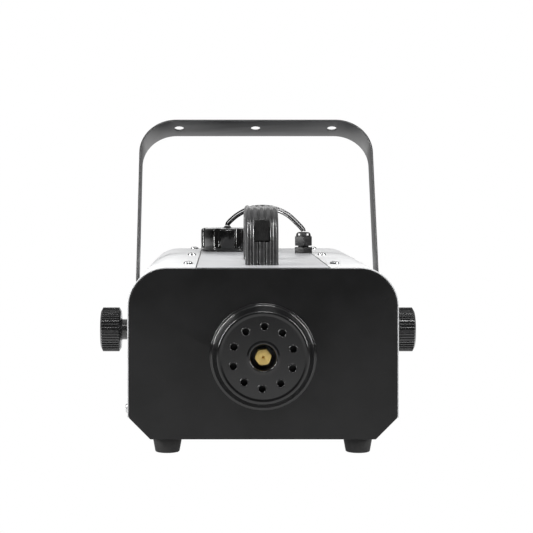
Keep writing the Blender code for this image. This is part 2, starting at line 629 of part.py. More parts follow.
def make_yoke():
    """Bent steel strap, leaning back about its pivot."""
    half = YOKE_OUTER - YOKE_SHEET / 2
    top = YOKE_REACH - YOKE_SHEET / 2
    corner = YOKE_CORNER - YOKE_SHEET / 2
    right = [(half, 0.0), (half, 60.0), (half, 130.0), *arc((half - corner, top - corner), corner, 0, 90)]
    path = right + [(-x, z) for x, z in reversed(right)]
    columns = [YOKE_STRAP / 2 * math.sin(math.radians(a)) for a in range(-90, 91, 15)]
    bm = bmesh.new()
    rows = [[bm.verts.new((x, y, z)) for y in columns] for x, z in path]
    for end in (rows[0], rows[-1]):
        for vert in end:
            vert.co.z = -math.sqrt(max(0.0, (YOKE_STRAP / 2) ** 2 - vert.co.y ** 2))
    for near, far in zip(rows, rows[1:]):
        for k in range(len(columns) - 1):
            bm.faces.new((near[k], near[k + 1], far[k + 1], far[k]))
    yoke = finish("yoke_bracket", bm, "black_paint")
    pivot = Vector((0, at_depth(PIVOT_DEPTH), PIVOT_Z))
    yoke.location = pivot * MM
    yoke.rotation_euler.x = -YOKE_TILT
    thick = yoke.modifiers.new("sheet", "SOLIDIFY")
    thick.thickness = YOKE_SHEET * MM
    thick.offset = 0.0
    lean = Matrix.Translation(pivot) @ Matrix.Rotation(-YOKE_TILT, 4, "X")
    up = lean.to_3x3() @ Vector((0, 0, 1))
    for k in (-1, 0, 1):
        spot = lean @ Vector((k * YOKE_HOLE_PITCH, 0, YOKE_REACH))
        drill(yoke, spot, up, YOKE_HOLE_RADIUS, 12.0, 24)
    for side in (-1, 1):
        drill(yoke, (side * YOKE_OUTER, pivot.y, pivot.z), (1, 0, 0), STUD_RADIUS + 0.6, 12.0, 20)


def ridged(angle, radius):
    """Every second point of the grip's rim is pulled in, which leaves the ridges."""
    if radius < KNOB_RADIUS - 2:
        return radius
    k = round(angle * 2 * KNOB_RIDGES / (2 * math.pi))
    return radius - 1.0 * (k % 2)


def make_knobs():
    """Clamping knobs, studs, washers, friction pads and the weld nuts inside the covers."""
    for hand, side in (("left", -1), ("right", 1)):
        centre, outward = (0, at_depth(PIVOT_DEPTH), PIVOT_Z), (side, 0, 0)
        washer_face = YOKE_OUTER + GAP + WASHER_THICK
        knob_face = washer_face + GAP
        knob = [(STUD_RADIUS + 0.3, knob_face), (HUB_RADIUS, knob_face), (HUB_RADIUS, KNOB_INNER),
                (KNOB_RADIUS - 2.4, KNOB_INNER), (KNOB_RADIUS, KNOB_INNER + 2.0), (KNOB_RADIUS, KNOB_OUTER - 2.4),
                (KNOB_RADIUS - 2.6, KNOB_OUTER), (STUD_RADIUS + 0.3, KNOB_OUTER)]
        turned(f"{hand}_knob", knob, centre, outward, "matte_black", 2 * KNOB_RIDGES, ridged)
        stud_end = KNOB_OUTER - 1.5
        stud = [(0, STUD_START), (STUD_RADIUS - 0.8, STUD_START), (STUD_RADIUS, STUD_START + 0.8),
                (STUD_RADIUS, stud_end), (0, stud_end)]
        turned(f"{hand}_knob_stud", stud, centre, outward, "steel", 20)
        washer = [(STUD_RADIUS + 0.5, YOKE_OUTER + GAP), (WASHER_RADIUS, YOKE_OUTER + GAP),
                  (WASHER_RADIUS, washer_face), (STUD_RADIUS + 0.5, washer_face)]
        turned(f"{hand}_knob_washer", washer, centre, outward, "steel", 28)
        pad_end = YOKE_OUTER - YOKE_SHEET - GAP
        pad = [(STUD_RADIUS + 1.0, COVER_HALF + GAP), (PAD_RADIUS, COVER_HALF + GAP), (PAD_RADIUS, pad_end),
               (STUD_RADIUS + 1.0, pad_end)]
        turned(f"{hand}_friction_pad", pad, centre, outward, "rubber", 28)
        nut_end = COVER_HALF - SHEET - GAP
        spans = sorted((side * (nut_end - 7.5), side * nut_end))
        nut = prism(f"{hand}_weld_nut", polygon(6, 16.0, (centre[1], PIVOT_Z)), "X", *spans, "steel")
        drill(nut, (side * nut_end, centre[1], PIVOT_Z), (1, 0, 0), STUD_RADIUS + 0.4, 40.0, 20)


# ---------------------------------------------------------------- electrics

def make_board():
    """Control board on two rails, with its relay."""
    x_low, x_high = -104.0, -46.0
    start, end = at_depth(66.0), at_depth(176.0)
    floor = BOTTOM + PAN_SHEET + GAP
    top = floor + 8.0
    for name, x in (("board_rail_left", x_low + 4), ("board_rail_right", x_high - 9)):
        box(name, (x, start + 2, floor), (x + 6, end - 2, top), "matte_black")
    box("control_board", (x_low, start, top + GAP), (x_high, end, top + GAP + 1.6), "board_green")
    base = top + 2 * GAP + 1.6
    relay = box("relay", (x_low + 16, start + 20, base), (x_low + 36, start + 48, base + 17), "matte_black")
    bevel(relay, 1.0, 1)


def make_inlet():
    """Mains inlet with three blades and a fuse drawer below them."""
    x, z = FITTING_X, INLET_Z
    face = REAR + GAP
    inlet = box("mains_inlet", (x - 17, face, z - 22), (x + 17, face + 2.4, z + 22), "matte_black")
    bevel(inlet, 1.0, 1)
    unite(inlet, box("mains_inlet_body", (x - 13.7, face - 25, z - 18.7), (x + 13.7, face + 1, z + 18.7), None))
    mouth_z = z + 6.0
    mouth = [(x - 12, mouth_z - 8), (x + 12, mouth_z - 8), (x + 12, mouth_z + 4), (x + 8, mouth_z + 8),
             (x - 8, mouth_z + 8), (x - 12, mouth_z + 4)]
    cut(inlet, prism("mains_inlet_mouth", mouth, "Y", face - 15, face + 5, None))
    mill(inlet, (x - 11, face - 19, z - 15), (x + 11, face + 5, z - 8))
    for k, (dx, dz) in enumerate(((-7, -1), (0, 3), (7, -1))):
        blade = box(f"mains_inlet_blade_{k}", (x + dx - 1, face - 17, mouth_z + dz - 2),
                    (x + dx + 1, face - 6, mouth_z + dz + 2), None)
        unite(inlet, blade)
    drawer = box("fuse_drawer", (x - 10.5, face - 18, z - 14.5), (x + 10.5, face + 2.0, z - 8.5), "matte_black")
    unite(drawer, box("fuse_drawer_lip", (x - 10.5, face + 1.5, z - 13.0), (x + 10.5, face + 3.6, z - 11.0), None))


def make_switch():
    """Rocker switch in its snap-in frame."""
    x, z = FITTING_X, SWITCH_Z
    face = REAR + GAP
    frame = box("switch_frame", (x - 15.5, face, z - 13.0), (x + 15.5, face + 2.0, z + 13.0), "matte_black")
    bevel(frame, 0.8, 1)
    unite(frame, box("switch_frame_body", (x - 13.2, face - 18, z - 10.7), (x + 13.2, face + 1, z + 10.7), None))
    mill(frame, (x - 11.0, face - 8, z - 8.6), (x + 11.0, face + 5, z + 8.6))
    pivot_y = face - 1.5
    outline = [(-4.0, -4.0), (2.6, -7.4), (4.0, -7.0), (2.9, 0.0), (4.0, 7.0), (2.6, 7.4), (-4.0, 4.0)]
    rock = math.radians(9.0)
    turned_outline = []
    for along, up in outline:
        y = pivot_y + along * math.cos(rock) - up * math.sin(rock)
        turned_outline.append((y, z + along * math.sin(rock) + up * math.cos(rock)))
    rocker = prism("switch_rocker", turned_outline, "X", x - 10.6, x + 10.6, "black_plastic")
    bevel(rocker, 0.5, 1)


def make_remote_socket():
    """Round three-pin socket for the wired remote."""
    centre = (FITTING_X, REAR + GAP, REMOTE_Z)
    profile = [(0, -22), (10.5, -22), (10.5, 0), (13.5, 0), (13.5, 2.0), (12.5, 2.6), (9.0, 2.6),
               (8.6, -13), (0, -13)]
    socket = turned("remote_socket", profile, centre, (0, 1, 0), "matte_black", 28)
    for k in range(3):
        angle = math.radians(90 + 120 * k)
        spot = (centre[0] + 4.2 * math.cos(angle), centre[1], centre[2] + 4.2 * math.sin(angle))
        pin = [(0, -14), (1.1, -14), (1.1, -6.6), (0, -6)]
        unite(socket, turned(f"remote_socket_pin_{k}", pin, spot, (0, 1, 0), None, 10))


def make_lamp():
    dome = [(0, -16), (3.8, -16), (3.8, 0), (5.6, 0), (5.6, 1.4), (4.2, 1.8), (3.9, 3.4), (2.6, 4.8), (0, LAMP_HEIGHT)]
    turned("indicator_lamp", dome, (LAMP_X, REAR + GAP, LAMP_Z), (0, 1, 0), "lamp_red", 24)


def main():
    clear_scene()
    make_front_panel()
    make_rear_panel()
    make_base_pan()
    make_covers()
    make_top_plate()
    make_feet()
    make_handle()
    make_shroud()
    make_nozzle()
    make_heater()
    make_pump()
    make_tank()
    make_cap()
    make_hoses()
    make_gland()
    make_yoke()
    make_knobs()
    make_board()
    make_inlet()
    make_switch()
    make_remote_socket()
    make_lamp()


main()
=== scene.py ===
"""Looks of a stage fog machine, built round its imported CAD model.

Lengths are in metres. Sizes that a maker would quote in millimetres are written as a number times MM.
+Z is up and the front panel faces -Y. Each sub-assembly is a class with its sizes as fields.
"""

from __future__ import annotations

import logging
import math
from dataclasses import dataclass, field
from enum import Enum
from typing import Callable, Iterable, Sequence

import bpy
from mathutils import Matrix, Vector

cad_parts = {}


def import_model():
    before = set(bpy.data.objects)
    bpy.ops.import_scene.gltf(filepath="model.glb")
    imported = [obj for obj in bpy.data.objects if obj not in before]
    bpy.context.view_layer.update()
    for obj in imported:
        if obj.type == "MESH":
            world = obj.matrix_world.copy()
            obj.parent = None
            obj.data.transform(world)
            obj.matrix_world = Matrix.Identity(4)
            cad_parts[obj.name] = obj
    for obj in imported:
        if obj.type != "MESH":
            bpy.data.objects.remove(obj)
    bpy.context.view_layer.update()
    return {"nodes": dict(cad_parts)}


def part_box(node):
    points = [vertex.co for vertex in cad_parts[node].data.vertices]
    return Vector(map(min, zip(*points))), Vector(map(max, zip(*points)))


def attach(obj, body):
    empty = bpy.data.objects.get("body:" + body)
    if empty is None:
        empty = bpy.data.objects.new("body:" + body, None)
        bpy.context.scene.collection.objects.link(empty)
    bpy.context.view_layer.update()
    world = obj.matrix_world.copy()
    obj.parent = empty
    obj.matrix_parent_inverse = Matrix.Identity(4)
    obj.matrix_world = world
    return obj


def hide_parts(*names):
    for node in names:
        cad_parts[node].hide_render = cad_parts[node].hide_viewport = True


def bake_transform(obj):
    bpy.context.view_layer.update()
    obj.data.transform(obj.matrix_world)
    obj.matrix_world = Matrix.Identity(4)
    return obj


MM = 0.001
LOG = logging.getLogger("fog_machine")
Point = Sequence[float]


class Body(str, Enum):
    """Rigid bodies that pieces ride on."""

    ROOT = "root"
    YOKE = "bracket"
    CAP_CARRIER = "cap_carrier"
    CAP = "cap"
    LEFT_KNOB = "left_knob_body"
    RIGHT_KNOB = "right_knob_body"


class Slot(str, Enum):
    """Material slots of the record."""

    BLACK_PAINT = "black_paint"
    COVER_PAINT = "cover_paint"
    TOP_PAINT = "top_paint"
    GLOSS_BLACK = "gloss_black"
    MATTE_BLACK = "matte_black"
    RUBBER = "rubber"
    STEEL = "steel"
    BRASS = "brass"
    HOSE = "hose"
    LAMP = "lamp_lens"


class Axis(Enum):
    """Directions that outlines are extruded along and profiles are turned about."""

    X = (1.0, 0.0, 0.0)
    Y = (0.0, 1.0, 0.0)
    Z = (0.0, 0.0, 1.0)

    @property
    def vector(self) -> Vector:
        """The axis as a unit vector."""
        return Vector(self.value)


# ------------------------------------------------------------------ shader arithmetic


class Signal:
    """A number socket that takes part in Python arithmetic by adding Math nodes."""

    def __init__(self, tree: bpy.types.NodeTree, socket: bpy.types.NodeSocket) -> None:
        """Wrap one output socket of a tree."""
        self.tree = tree
        self.socket = socket

    def math(self, operation: str, *others: "Signal | float", swap: bool = False, clamp: bool = False) -> "Signal":
        """Add one Math node.

        Args:
            operation: the node's operation.
            others: the other operands, signals or numbers.
            swap: put this signal second instead of first.
            clamp: clamp the result to 0..1.

        Returns:
            The node's result.
        """
        node = self.tree.nodes.new("ShaderNodeMath")
        node.operation = operation
        node.use_clamp = clamp
        operands: list[Signal | float] = [self, *others]
        if swap:
            operands[0], operands[1] = operands[1], operands[0]
        for slot, operand in zip(node.inputs, operands):
            if isinstance(operand, Signal):
                self.tree.links.new(operand.socket, slot)
            else:
                slot.default_value = float(operand)
        return Signal(self.tree, node.outputs[0])

    def __add__(self, other: "Signal | float") -> "Signal":
        """Sum."""
        return self.math("ADD", other)

    __radd__ = __add__

    def __sub__(self, other: "Signal | float") -> "Signal":
        """Difference."""
        return self.math("SUBTRACT", other)

    def __rsub__(self, other: float) -> "Signal":
        """Difference from a number."""
        return self.math("SUBTRACT", other, swap=True)

    def __mul__(self, other: "Signal | float") -> "Signal":
        """Product."""
        return self.math("MULTIPLY", other)

    __rmul__ = __mul__

    def wave(self) -> "Signal":
        """Sine."""
        return self.math("SINE")

    def root(self) -> "Signal":
        """Square root."""
        return self.math("SQRT")

    def step_up(self, low: float, high: float) -> "Signal":
        """Ramp from 0 at low to 1 at high."""
        return ((self - low) * (1.0 / (high - low))).math("ADD", 0.0, clamp=True)


class Graph:
    """A node tree that is written by method calls."""

    def __init__(self, tree: bpy.types.NodeTree) -> None:
        """Empty a tree and start on it."""
        self.tree = tree
        tree.nodes.clear()

    def node(self, kind: str, settings: dict[str, object], **values: object) -> bpy.types.Node:
        """Add a node.

        Args:
            kind: the node's type.
            settings: attributes that are set before the sockets.
            values: socket values or links, named as the sockets are with spaces as underscores.

        Returns:
            The node.
        """
        node = self.tree.nodes.new(kind)
        for name, value in settings.items():
            setattr(node, name, value)
        for name, value in values.items():
            self.feed(node.inputs[name.replace("_", " ")], value)
        return node

    def feed(self, slot: bpy.types.NodeSocket, value: object) -> None:
        """Link a signal or socket to an input, or set the input's own value."""
        if isinstance(value, Signal):
            self.tree.links.new(value.socket, slot)
        elif isinstance(value, bpy.types.NodeSocket):
            self.tree.links.new(value, slot)
        else:
            slot.default_value = value

    def parts(self, vector: bpy.types.NodeSocket) -> tuple[Signal, ...]:
        """The X, Y and Z of a vector."""
        split = self.node("ShaderNodeSeparateXYZ", {}, Vector=vector)
        return tuple(Signal(self.tree, out) for out in split.outputs)


class Recipe(Graph):
    """One material's node tree, on object coordinates."""

    def __init__(self, name: str) -> None:
        """Start an empty material."""
        self.material = bpy.data.materials.new(name)
        self.material.use_nodes = True
        super().__init__(self.material.node_tree)
        self.coordinates = self.node("ShaderNodeTexCoord", {}).outputs["Object"]

    def noise(self, scale: float, detail: float = 3.0, roughness: float = 0.55, stretch: Point = (1, 1, 1)) -> Signal:
        """Fractal noise on object coordinates, about 0.5 on average.

        Args:
            scale: cycles per metre.
            detail: octaves.
            roughness: weight of the fine octaves.
            stretch: factor on each axis.

        Returns:
            The noise value.
        """
        vector = self.coordinates
        if tuple(stretch) != (1, 1, 1):
            vector = self.node("ShaderNodeMapping", {}, Vector=vector, Scale=tuple(stretch)).outputs[0]
        made = self.node("ShaderNodeTexNoise", {}, Vector=vector, Scale=scale, Detail=detail, Roughness=roughness)
        return Signal(self.tree, made.outputs[0])

    def cells(self, scale: float) -> Signal:
        """Distance to the nearest point of a cell pattern."""
        made = self.node("ShaderNodeTexVoronoi", {}, Vector=self.coordinates, Scale=scale)
        return Signal(self.tree, made.outputs["Distance"])

    def blend(self, factor: Signal, first: Point | bpy.types.NodeSocket, second: Point) -> bpy.types.NodeSocket:
        """Mix a colour, or a colour socket, with a second colour by a factor."""
        made = self.node("ShaderNodeMix", {"data_type": "RGBA"})
        for slot, value in zip((made.inputs[0], made.inputs[6], made.inputs[7]), (factor, first, second)):
            self.feed(slot, value if isinstance(value, (Signal, bpy.types.NodeSocket)) else (*value, 1.0))
        return made.outputs[2]

    def finish(self, height: Signal | None, depth: float, **surface: object) -> bpy.types.Material:
        """Close the material with one Principled shader.

        Args:
            height: relief from 0 to 1, or None.
            depth: metres that a height of 1 stands for.
            surface: inputs of the shader.

        Returns:
            The material.
        """
        shader = self.node("ShaderNodeBsdfPrincipled", {}, **surface)
        if height is not None:
            bump = self.node("ShaderNodeBump", {}, Height=height, Distance=depth, Strength=1.0)
            self.feed(shader.inputs["Normal"], bump.outputs[0])
        self.node("ShaderNodeOutputMaterial", {}, Surface=shader.outputs[0])
        return self.material


# ------------------------------------------------------------------ finishes


@dataclass(frozen=True)
class Finish:
    """A surface whose colour, gloss and relief vary softly.

    grain is the size of the fine relief and mottle that of the broad patches, both in metres.
    """

    name: str
    colour: tuple[float, float, float]
    shade: tuple[float, float, float]
    roughness: float
    roughness_swing: float = 0.08
    metallic: float = 0.0
    grain: float = 0.6 * MM
    relief: float = 0.01 * MM
    mottle: float = 40 * MM
    coat: float = 0.0
    coat_roughness: float = 0.06
    specular: float = 0.5

    def relief_of(self, recipe: Recipe) -> Signal:
        """Fine relief, 0 to 1."""
        return recipe.noise(1 / self.grain, 2.0)

    def tone_of(self, recipe: Recipe) -> Signal:
        """How far the colour moves towards the shade, 0 to 1."""
        return recipe.noise(1 / self.mottle, 4.0).step_up(0.35, 0.7)

    def colour_of(self, recipe: Recipe) -> bpy.types.NodeSocket:
        """Colour and shade, mixed by the tone."""
        return recipe.blend(self.tone_of(recipe), self.colour, self.shade)

    def make(self) -> bpy.types.Material:
        """Build the material."""
        recipe = Recipe(self.name)
        smudge = recipe.noise(1 / (self.mottle * 0.6), 5.0, 0.65)
        rough = (smudge - 0.5) * (2 * self.roughness_swing) + self.roughness
        return recipe.finish(
            self.relief_of(recipe), self.relief, Base_Color=self.colour_of(recipe), Roughness=rough,
            Metallic=self.metallic, Coat_Weight=self.coat, Coat_Roughness=self.coat_roughness,
            Specular_IOR_Level=self.specular)


@dataclass(frozen=True)
class PowderCoat(Finish):
    """Oven-cured coat with a leathery surface and a few specks of dust."""

    dust: tuple[float, float, float] = (0.16, 0.16, 0.165)
    dust_pitch: float = 7 * MM
    dust_share: float = 0.25

    def relief_of(self, recipe: Recipe) -> Signal:
        """Rounded cells with finer noise on them."""
        return recipe.cells(1 / self.grain) * 0.7 + recipe.noise(2.2 / self.grain, 2.0) * 0.3

    def colour_of(self, recipe: Recipe) -> bpy.types.NodeSocket:
        """The coat's colour with specks of dust on it."""
        speck = 1 - recipe.cells(1 / self.dust_pitch).step_up(0.015, 0.035)
        return recipe.blend(speck * self.dust_share, super().colour_of(recipe), self.dust)


@dataclass(frozen=True)
class TurnedFace(Finish):
    """Metal faced on a lathe: fine rings round a centre line along Y, with a cut that drifts."""

    centre: tuple[float, float] = (0.0, 0.0)
    ring_pitch: float = 1.5 * MM

    def relief_of(self, recipe: Recipe) -> Signal:
        """Concentric rings, slightly uneven."""
        x, _, z = recipe.parts(recipe.coordinates)
        off_x, off_z = x - self.centre[0], z - self.centre[1]
        radius = (off_x * off_x + off_z * off_z).root()
        drift = recipe.noise(900.0, 2.0) * (0.35 * self.ring_pitch)
        return ((radius + drift) * (2 * math.pi / self.ring_pitch)).wave() * 0.5 + 0.5

    def tone_of(self, recipe: Recipe) -> Signal:
        """Darker colour along the turned rings, mixed with random patches."""
        return self.relief_of(recipe) * 0.55 + recipe.noise(500.0, 4.0).step_up(0.4, 0.75) * 0.45


@dataclass(frozen=True)
class DrawnMetal(Finish):
    """Sheet or bar with fine drawing lines along one axis."""

    stretch: tuple[float, float, float] = (1.0, 0.06, 1.0)

    def relief_of(self, recipe: Recipe) -> Signal:
        """Lines along the drawing direction."""
        return recipe.noise(1 / self.grain, 3.0, 0.6, self.stretch)


@dataclass(frozen=True)
class Fibre(Finish):
    """Woven sleeve: crossed threads."""

    def relief_of(self, recipe: Recipe) -> Signal:
        """Two crossed sets of threads."""
        x, y, z = recipe.parts(recipe.coordinates)
        pitch = 2 * math.pi / self.grain
        weave = ((x + z) * pitch).wave() * (y * pitch).wave()
        return weave * 0.5 + 0.5


class Paints:
    """Every finish of the machine, made once."""

    def __init__(self, nozzle_centre: tuple[float, float]) -> None:
        """Make all materials.

        Args:
            nozzle_centre: X and Z of the nozzle's axis, for its turned rings.
        """
        near_black = (0.004, 0.004, 0.0042)
        self.panel = PowderCoat("panel_powder_coat", near_black, (0.008, 0.008, 0.0084), 0.38, 0.05, grain=0.55 * MM,
                                relief=0.010 * MM, specular=0.36).make()
        self.yoke = PowderCoat("yoke_powder_coat", (0.016, 0.016, 0.017), (0.024, 0.024, 0.025), 0.36, 0.06,
                               grain=0.6 * MM, relief=0.014 * MM, specular=0.6).make()
        self.shroud = PowderCoat("shroud_satin_paint", (0.004, 0.004, 0.0042), (0.007, 0.007, 0.0074), 0.15, 0.03,
                                 grain=0.5 * MM, relief=0.003 * MM, specular=0.68).make()
        self.cover = PowderCoat("cover_silver_lacquer", (0.70, 0.705, 0.71), (0.66, 0.665, 0.675), 0.32, 0.06,
                                grain=0.5 * MM, relief=0.008 * MM, dust=(0.45, 0.44, 0.42)).make()
        self.top = PowderCoat("top_grey_lacquer", (0.43, 0.435, 0.445), (0.39, 0.395, 0.41), 0.34, 0.06,
                              grain=0.5 * MM, relief=0.008 * MM, dust=(0.3, 0.3, 0.29)).make()
        self.handle = Finish("handle_moulding", (0.014, 0.014, 0.0145), (0.036, 0.036, 0.037), 0.30, 0.06,
                             grain=0.9 * MM, relief=0.020 * MM, mottle=5 * MM, coat=0.3, specular=0.7).make()
        self.cap = Finish("cap_moulding", (0.004, 0.004, 0.0042), (0.007, 0.007, 0.0072), 0.14, 0.05,
                          grain=0.8 * MM, relief=0.004 * MM, mottle=14 * MM, coat=0.7, specular=0.6).make()
        self.matte = Finish("matte_moulding", (0.012, 0.012, 0.0125), (0.022, 0.022, 0.0225), 0.46, 0.08,
                            grain=0.35 * MM, relief=0.02 * MM, mottle=8 * MM).make()
        self.knob = Finish("knob_moulding", (0.006, 0.006, 0.0065), (0.012, 0.012, 0.0125), 0.24, 0.06,
                           grain=0.4 * MM, relief=0.01 * MM, mottle=6 * MM, specular=0.9).make()
        # Near-black matte sheet in the handle's pockets: painted shade standing in for a deep dark opening.
        self.pocket = Finish("pocket_painted_shade", (0.004, 0.004, 0.004), (0.007, 0.007, 0.007), 0.42, 0.05,
                             grain=0.4 * MM, relief=0.006 * MM, mottle=7 * MM).make()
        self.rubber = Finish("foot_rubber", (0.007, 0.007, 0.0075), (0.015, 0.0145, 0.014), 0.60, 0.08,
                             grain=0.5 * MM, relief=0.03 * MM, mottle=10 * MM).make()
        self.hose = Finish("hose_rubber", (0.010, 0.010, 0.011), (0.018, 0.018, 0.019), 0.22, 0.05,
                           grain=0.9 * MM, relief=0.006 * MM, mottle=6 * MM, coat=0.3).make()
        self.brass = TurnedFace("nozzle_brass", (1.0, 0.74, 0.26), (0.66, 0.46, 0.14), 0.36, 0.08, metallic=0.4,
                                relief=0.02 * MM, mottle=3 * MM, centre=nozzle_centre).make()
        self.plain_brass = DrawnMetal("bar_brass", (0.78, 0.56, 0.24), (0.62, 0.43, 0.17), 0.32, 0.07, metallic=1.0,
                                      grain=0.5 * MM, mottle=8 * MM).make()
        self.steel = DrawnMetal("zinc_plated_steel", (0.72, 0.725, 0.73), (0.52, 0.525, 0.53), 0.24, 0.08,
                                metallic=1.0, grain=0.5 * MM, mottle=6 * MM).make()
        self.aluminium = Finish("cast_aluminium", (0.68, 0.685, 0.69), (0.55, 0.555, 0.565), 0.48, 0.08, metallic=1.0,
                                grain=1.2 * MM, relief=0.05 * MM, mottle=20 * MM).make()
        self.copper = DrawnMetal("soft_copper", (0.72, 0.38, 0.26), (0.5, 0.24, 0.16), 0.33, 0.08, metallic=1.0,
                                 grain=0.6 * MM, mottle=12 * MM).make()
        self.tank = Finish("natural_polyethylene", (0.78, 0.79, 0.76), (0.70, 0.71, 0.67), 0.46, 0.06,
                           grain=1.4 * MM, relief=0.03 * MM, mottle=30 * MM).make()
        self.fibre = Fibre("ceramic_fibre", (0.72, 0.70, 0.64), (0.58, 0.56, 0.50), 0.88, 0.05, grain=2.4 * MM,
                           relief=0.25 * MM, mottle=25 * MM).make()
        self.board = DrawnMetal("circuit_laminate", (0.03, 0.16, 0.07), (0.05, 0.22, 0.10), 0.38, 0.05,
                                grain=1.6 * MM, relief=0.03 * MM, mottle=6 * MM).make()
        self.lamp = Finish("red_lens", (0.50, 0.02, 0.015), (0.62, 0.04, 0.03), 0.12, 0.03, grain=1.5 * MM,
                           relief=0.02 * MM, mottle=5 * MM, coat=0.6).make()


# ------------------------------------------------------------------ modelling


class Bench:
    """Modelling moves made with Blender's own operators; every result lies in world space."""

    MERGE = 0.00001

    @staticmethod
    def deselect() -> None:
        """Leave object mode with nothing selected."""
        bpy.ops.object.select_all(action="DESELECT")

    @classmethod
    def activate(cls, obj: bpy.types.Object) -> None:
        """Select one object alone and make it active."""
        cls.deselect()
        obj.select_set(True)
        bpy.context.view_layer.objects.active = obj

    @classmethod
    def edit(cls, obj: bpy.types.Object) -> None:
        """Enter edit mode with everything selected."""
        cls.activate(obj)
        bpy.ops.object.mode_set(mode="EDIT")
        bpy.ops.mesh.select_all(action="SELECT")

    @staticmethod
    def leave() -> None:
        """Return to object mode."""
        bpy.ops.object.mode_set(mode="OBJECT")

    @classmethod
    def draw(cls, name: str, points: Sequence[Point], closed: bool) -> bpy.types.Object:
        """Draw a line of edges by extruding one vertex from point to point.

        Args:
            name: the object's name.
            points: where the line goes.
            closed: join the last point to the first.

        Returns:
            The object, still in edit mode with all of it selected.
        """
        cls.deselect()
        bpy.ops.mesh.primitive_plane_add(size=MM)
        obj = bpy.context.active_object
        obj.name = obj.data.name = name
        bpy.ops.object.mode_set(mode="EDIT")
        bpy.ops.mesh.select_all(action="SELECT")
        bpy.ops.mesh.merge(type="CENTER")
        bpy.ops.transform.translate(value=Vector(points[0]))
        route = [Vector(p) for p in points]
        if closed:
            route.append(route[0])
        for here, there in zip(route, route[1:]):
            bpy.ops.mesh.extrude_region_move(TRANSFORM_OT_translate={"value": there - here})
        bpy.ops.mesh.select_all(action="SELECT")
        if closed:
            bpy.ops.mesh.remove_doubles(threshold=cls.MERGE)
        return obj

    @classmethod
    def close_up(cls) -> None:
        """Merge doubles, turn faces outwards and leave edit mode."""
        bpy.ops.mesh.select_all(action="SELECT")
        bpy.ops.mesh.remove_doubles(threshold=cls.MERGE)
        bpy.ops.mesh.normals_make_consistent(inside=False)
        cls.leave()

    @classmethod
    def extrude(cls, name: str, points: Sequence[Point], travel: Point) -> bpy.types.Object:
        """Fill a closed outline and extrude it by travel."""
        obj = cls.draw(name, points, closed=True)
        bpy.ops.mesh.edge_face_add()
        bpy.ops.mesh.extrude_region_move(TRANSFORM_OT_translate={"value": Vector(travel)})
        cls.close_up()
        return obj

    @classmethod
    def turn(cls, name: str, profile: Sequence[tuple[float, float]], centre: Point, axis: Axis, steps: int = 96,
             away: bool = True) -> bpy.types.Object:
        """Spin a profile of (radius, height) points into a closed body.

        Args:
            name: the object's name.
            profile: a line that starts and ends on the axis, or a closed ring that never meets it.
            centre: a point on the axis, from which heights are measured.
            axis: the axis.
            steps: divisions of the turn.
            away: heights grow along the axis; otherwise against it.

        Returns:
            The object.
        """
        side = Axis.Z.vector if axis is Axis.Y else Axis.Y.vector if axis is Axis.X else Axis.X.vector
        along = axis.vector if away else -axis.vector
        middle = Vector(centre)
        ring = min(r for r, _ in profile) > 0
        points = [middle + side * r + along * h for r, h in profile]
        obj = cls.draw(name, points, closed=ring)
        bpy.ops.mesh.spin(steps=steps, angle=2 * math.pi, center=middle, axis=axis.vector)
        cls.close_up()
        return obj

    @classmethod
    def block(cls, name: str, low: Point, high: Point) -> bpy.types.Object:
        """A box between two corners, as a start for further shaping."""
        cls.deselect()
        low, high = Vector(low), Vector(high)
        bpy.ops.mesh.primitive_cube_add(size=1.0, location=(low + high) / 2)
        obj = bpy.context.active_object
        obj.name = obj.data.name = name
        obj.scale = high - low
        bpy.ops.object.transform_apply(location=True, rotation=True, scale=True)
        return obj

    @classmethod
    def modify(cls, obj: bpy.types.Object, kind: str, **settings: object) -> bpy.types.Object:
        """Add a modifier, set it and apply it."""
        cls.activate(obj)
        modifier = obj.modifiers.new(kind.lower(), kind)
        for name, value in settings.items():
            setattr(modifier, name, value)
        bpy.ops.object.modifier_apply(modifier=modifier.name)
        return obj

    @classmethod
    def bevel(cls, obj: bpy.types.Object, width: float, segments: int = 3, angle: float = 38.0) -> bpy.types.Object:
        """Round every edge sharper than an angle in degrees."""
        return cls.modify(obj, "BEVEL", width=width, segments=segments, limit_method="ANGLE",
                          angle_limit=math.radians(angle), use_clamp_overlap=True)

    @classmethod
    def cut(cls, obj: bpy.types.Object, cutter: bpy.types.Object, operation: str = "DIFFERENCE") -> bpy.types.Object:
        """Cut (or join) another object and remove it."""
        cls.modify(obj, "BOOLEAN", object=cutter, operation=operation, solver="EXACT")
        bpy.data.objects.remove(cutter, do_unlink=True)
        return obj

    @classmethod
    def drill(cls, obj: bpy.types.Object, name: str, centre: Point, axis: Axis, radius: float,
              span: tuple[float, float], steps: int = 48) -> bpy.types.Object:
        """Drill a round hole.

        Args:
            obj: the piece that is drilled.
            name: the drill's name.
            centre: a point on the hole's axis.
            axis: the hole's direction.
            radius: the hole's radius.
            span: the two heights along the axis between which it is cut.
            steps: divisions of its circle.

        Returns:
            The piece.
        """
        low, high = span
        return cls.cut(obj, cls.turn(name, [(0, low), (radius, low), (radius, high), (0, high)], centre, axis, steps))

    @classmethod
    def join(cls, first: bpy.types.Object, others: Iterable[bpy.types.Object]) -> bpy.types.Object:
        """Put separate bodies into one object."""
        cls.activate(first)
        for other in others:
            other.select_set(True)
        bpy.ops.object.join()
        return first

    @classmethod
    def copy(cls, obj: bpy.types.Object, name: str, change: Matrix) -> bpy.types.Object:
        """A copy with its own mesh, moved by a matrix; a mirroring matrix keeps faces outwards."""
        twin = obj.copy()
        twin.data = obj.data.copy()
        twin.name = twin.data.name = name
        bpy.context.scene.collection.objects.link(twin)
        twin.data.transform(change)
        if change.determinant() < 0:
            twin.data.flip_normals()
        return twin

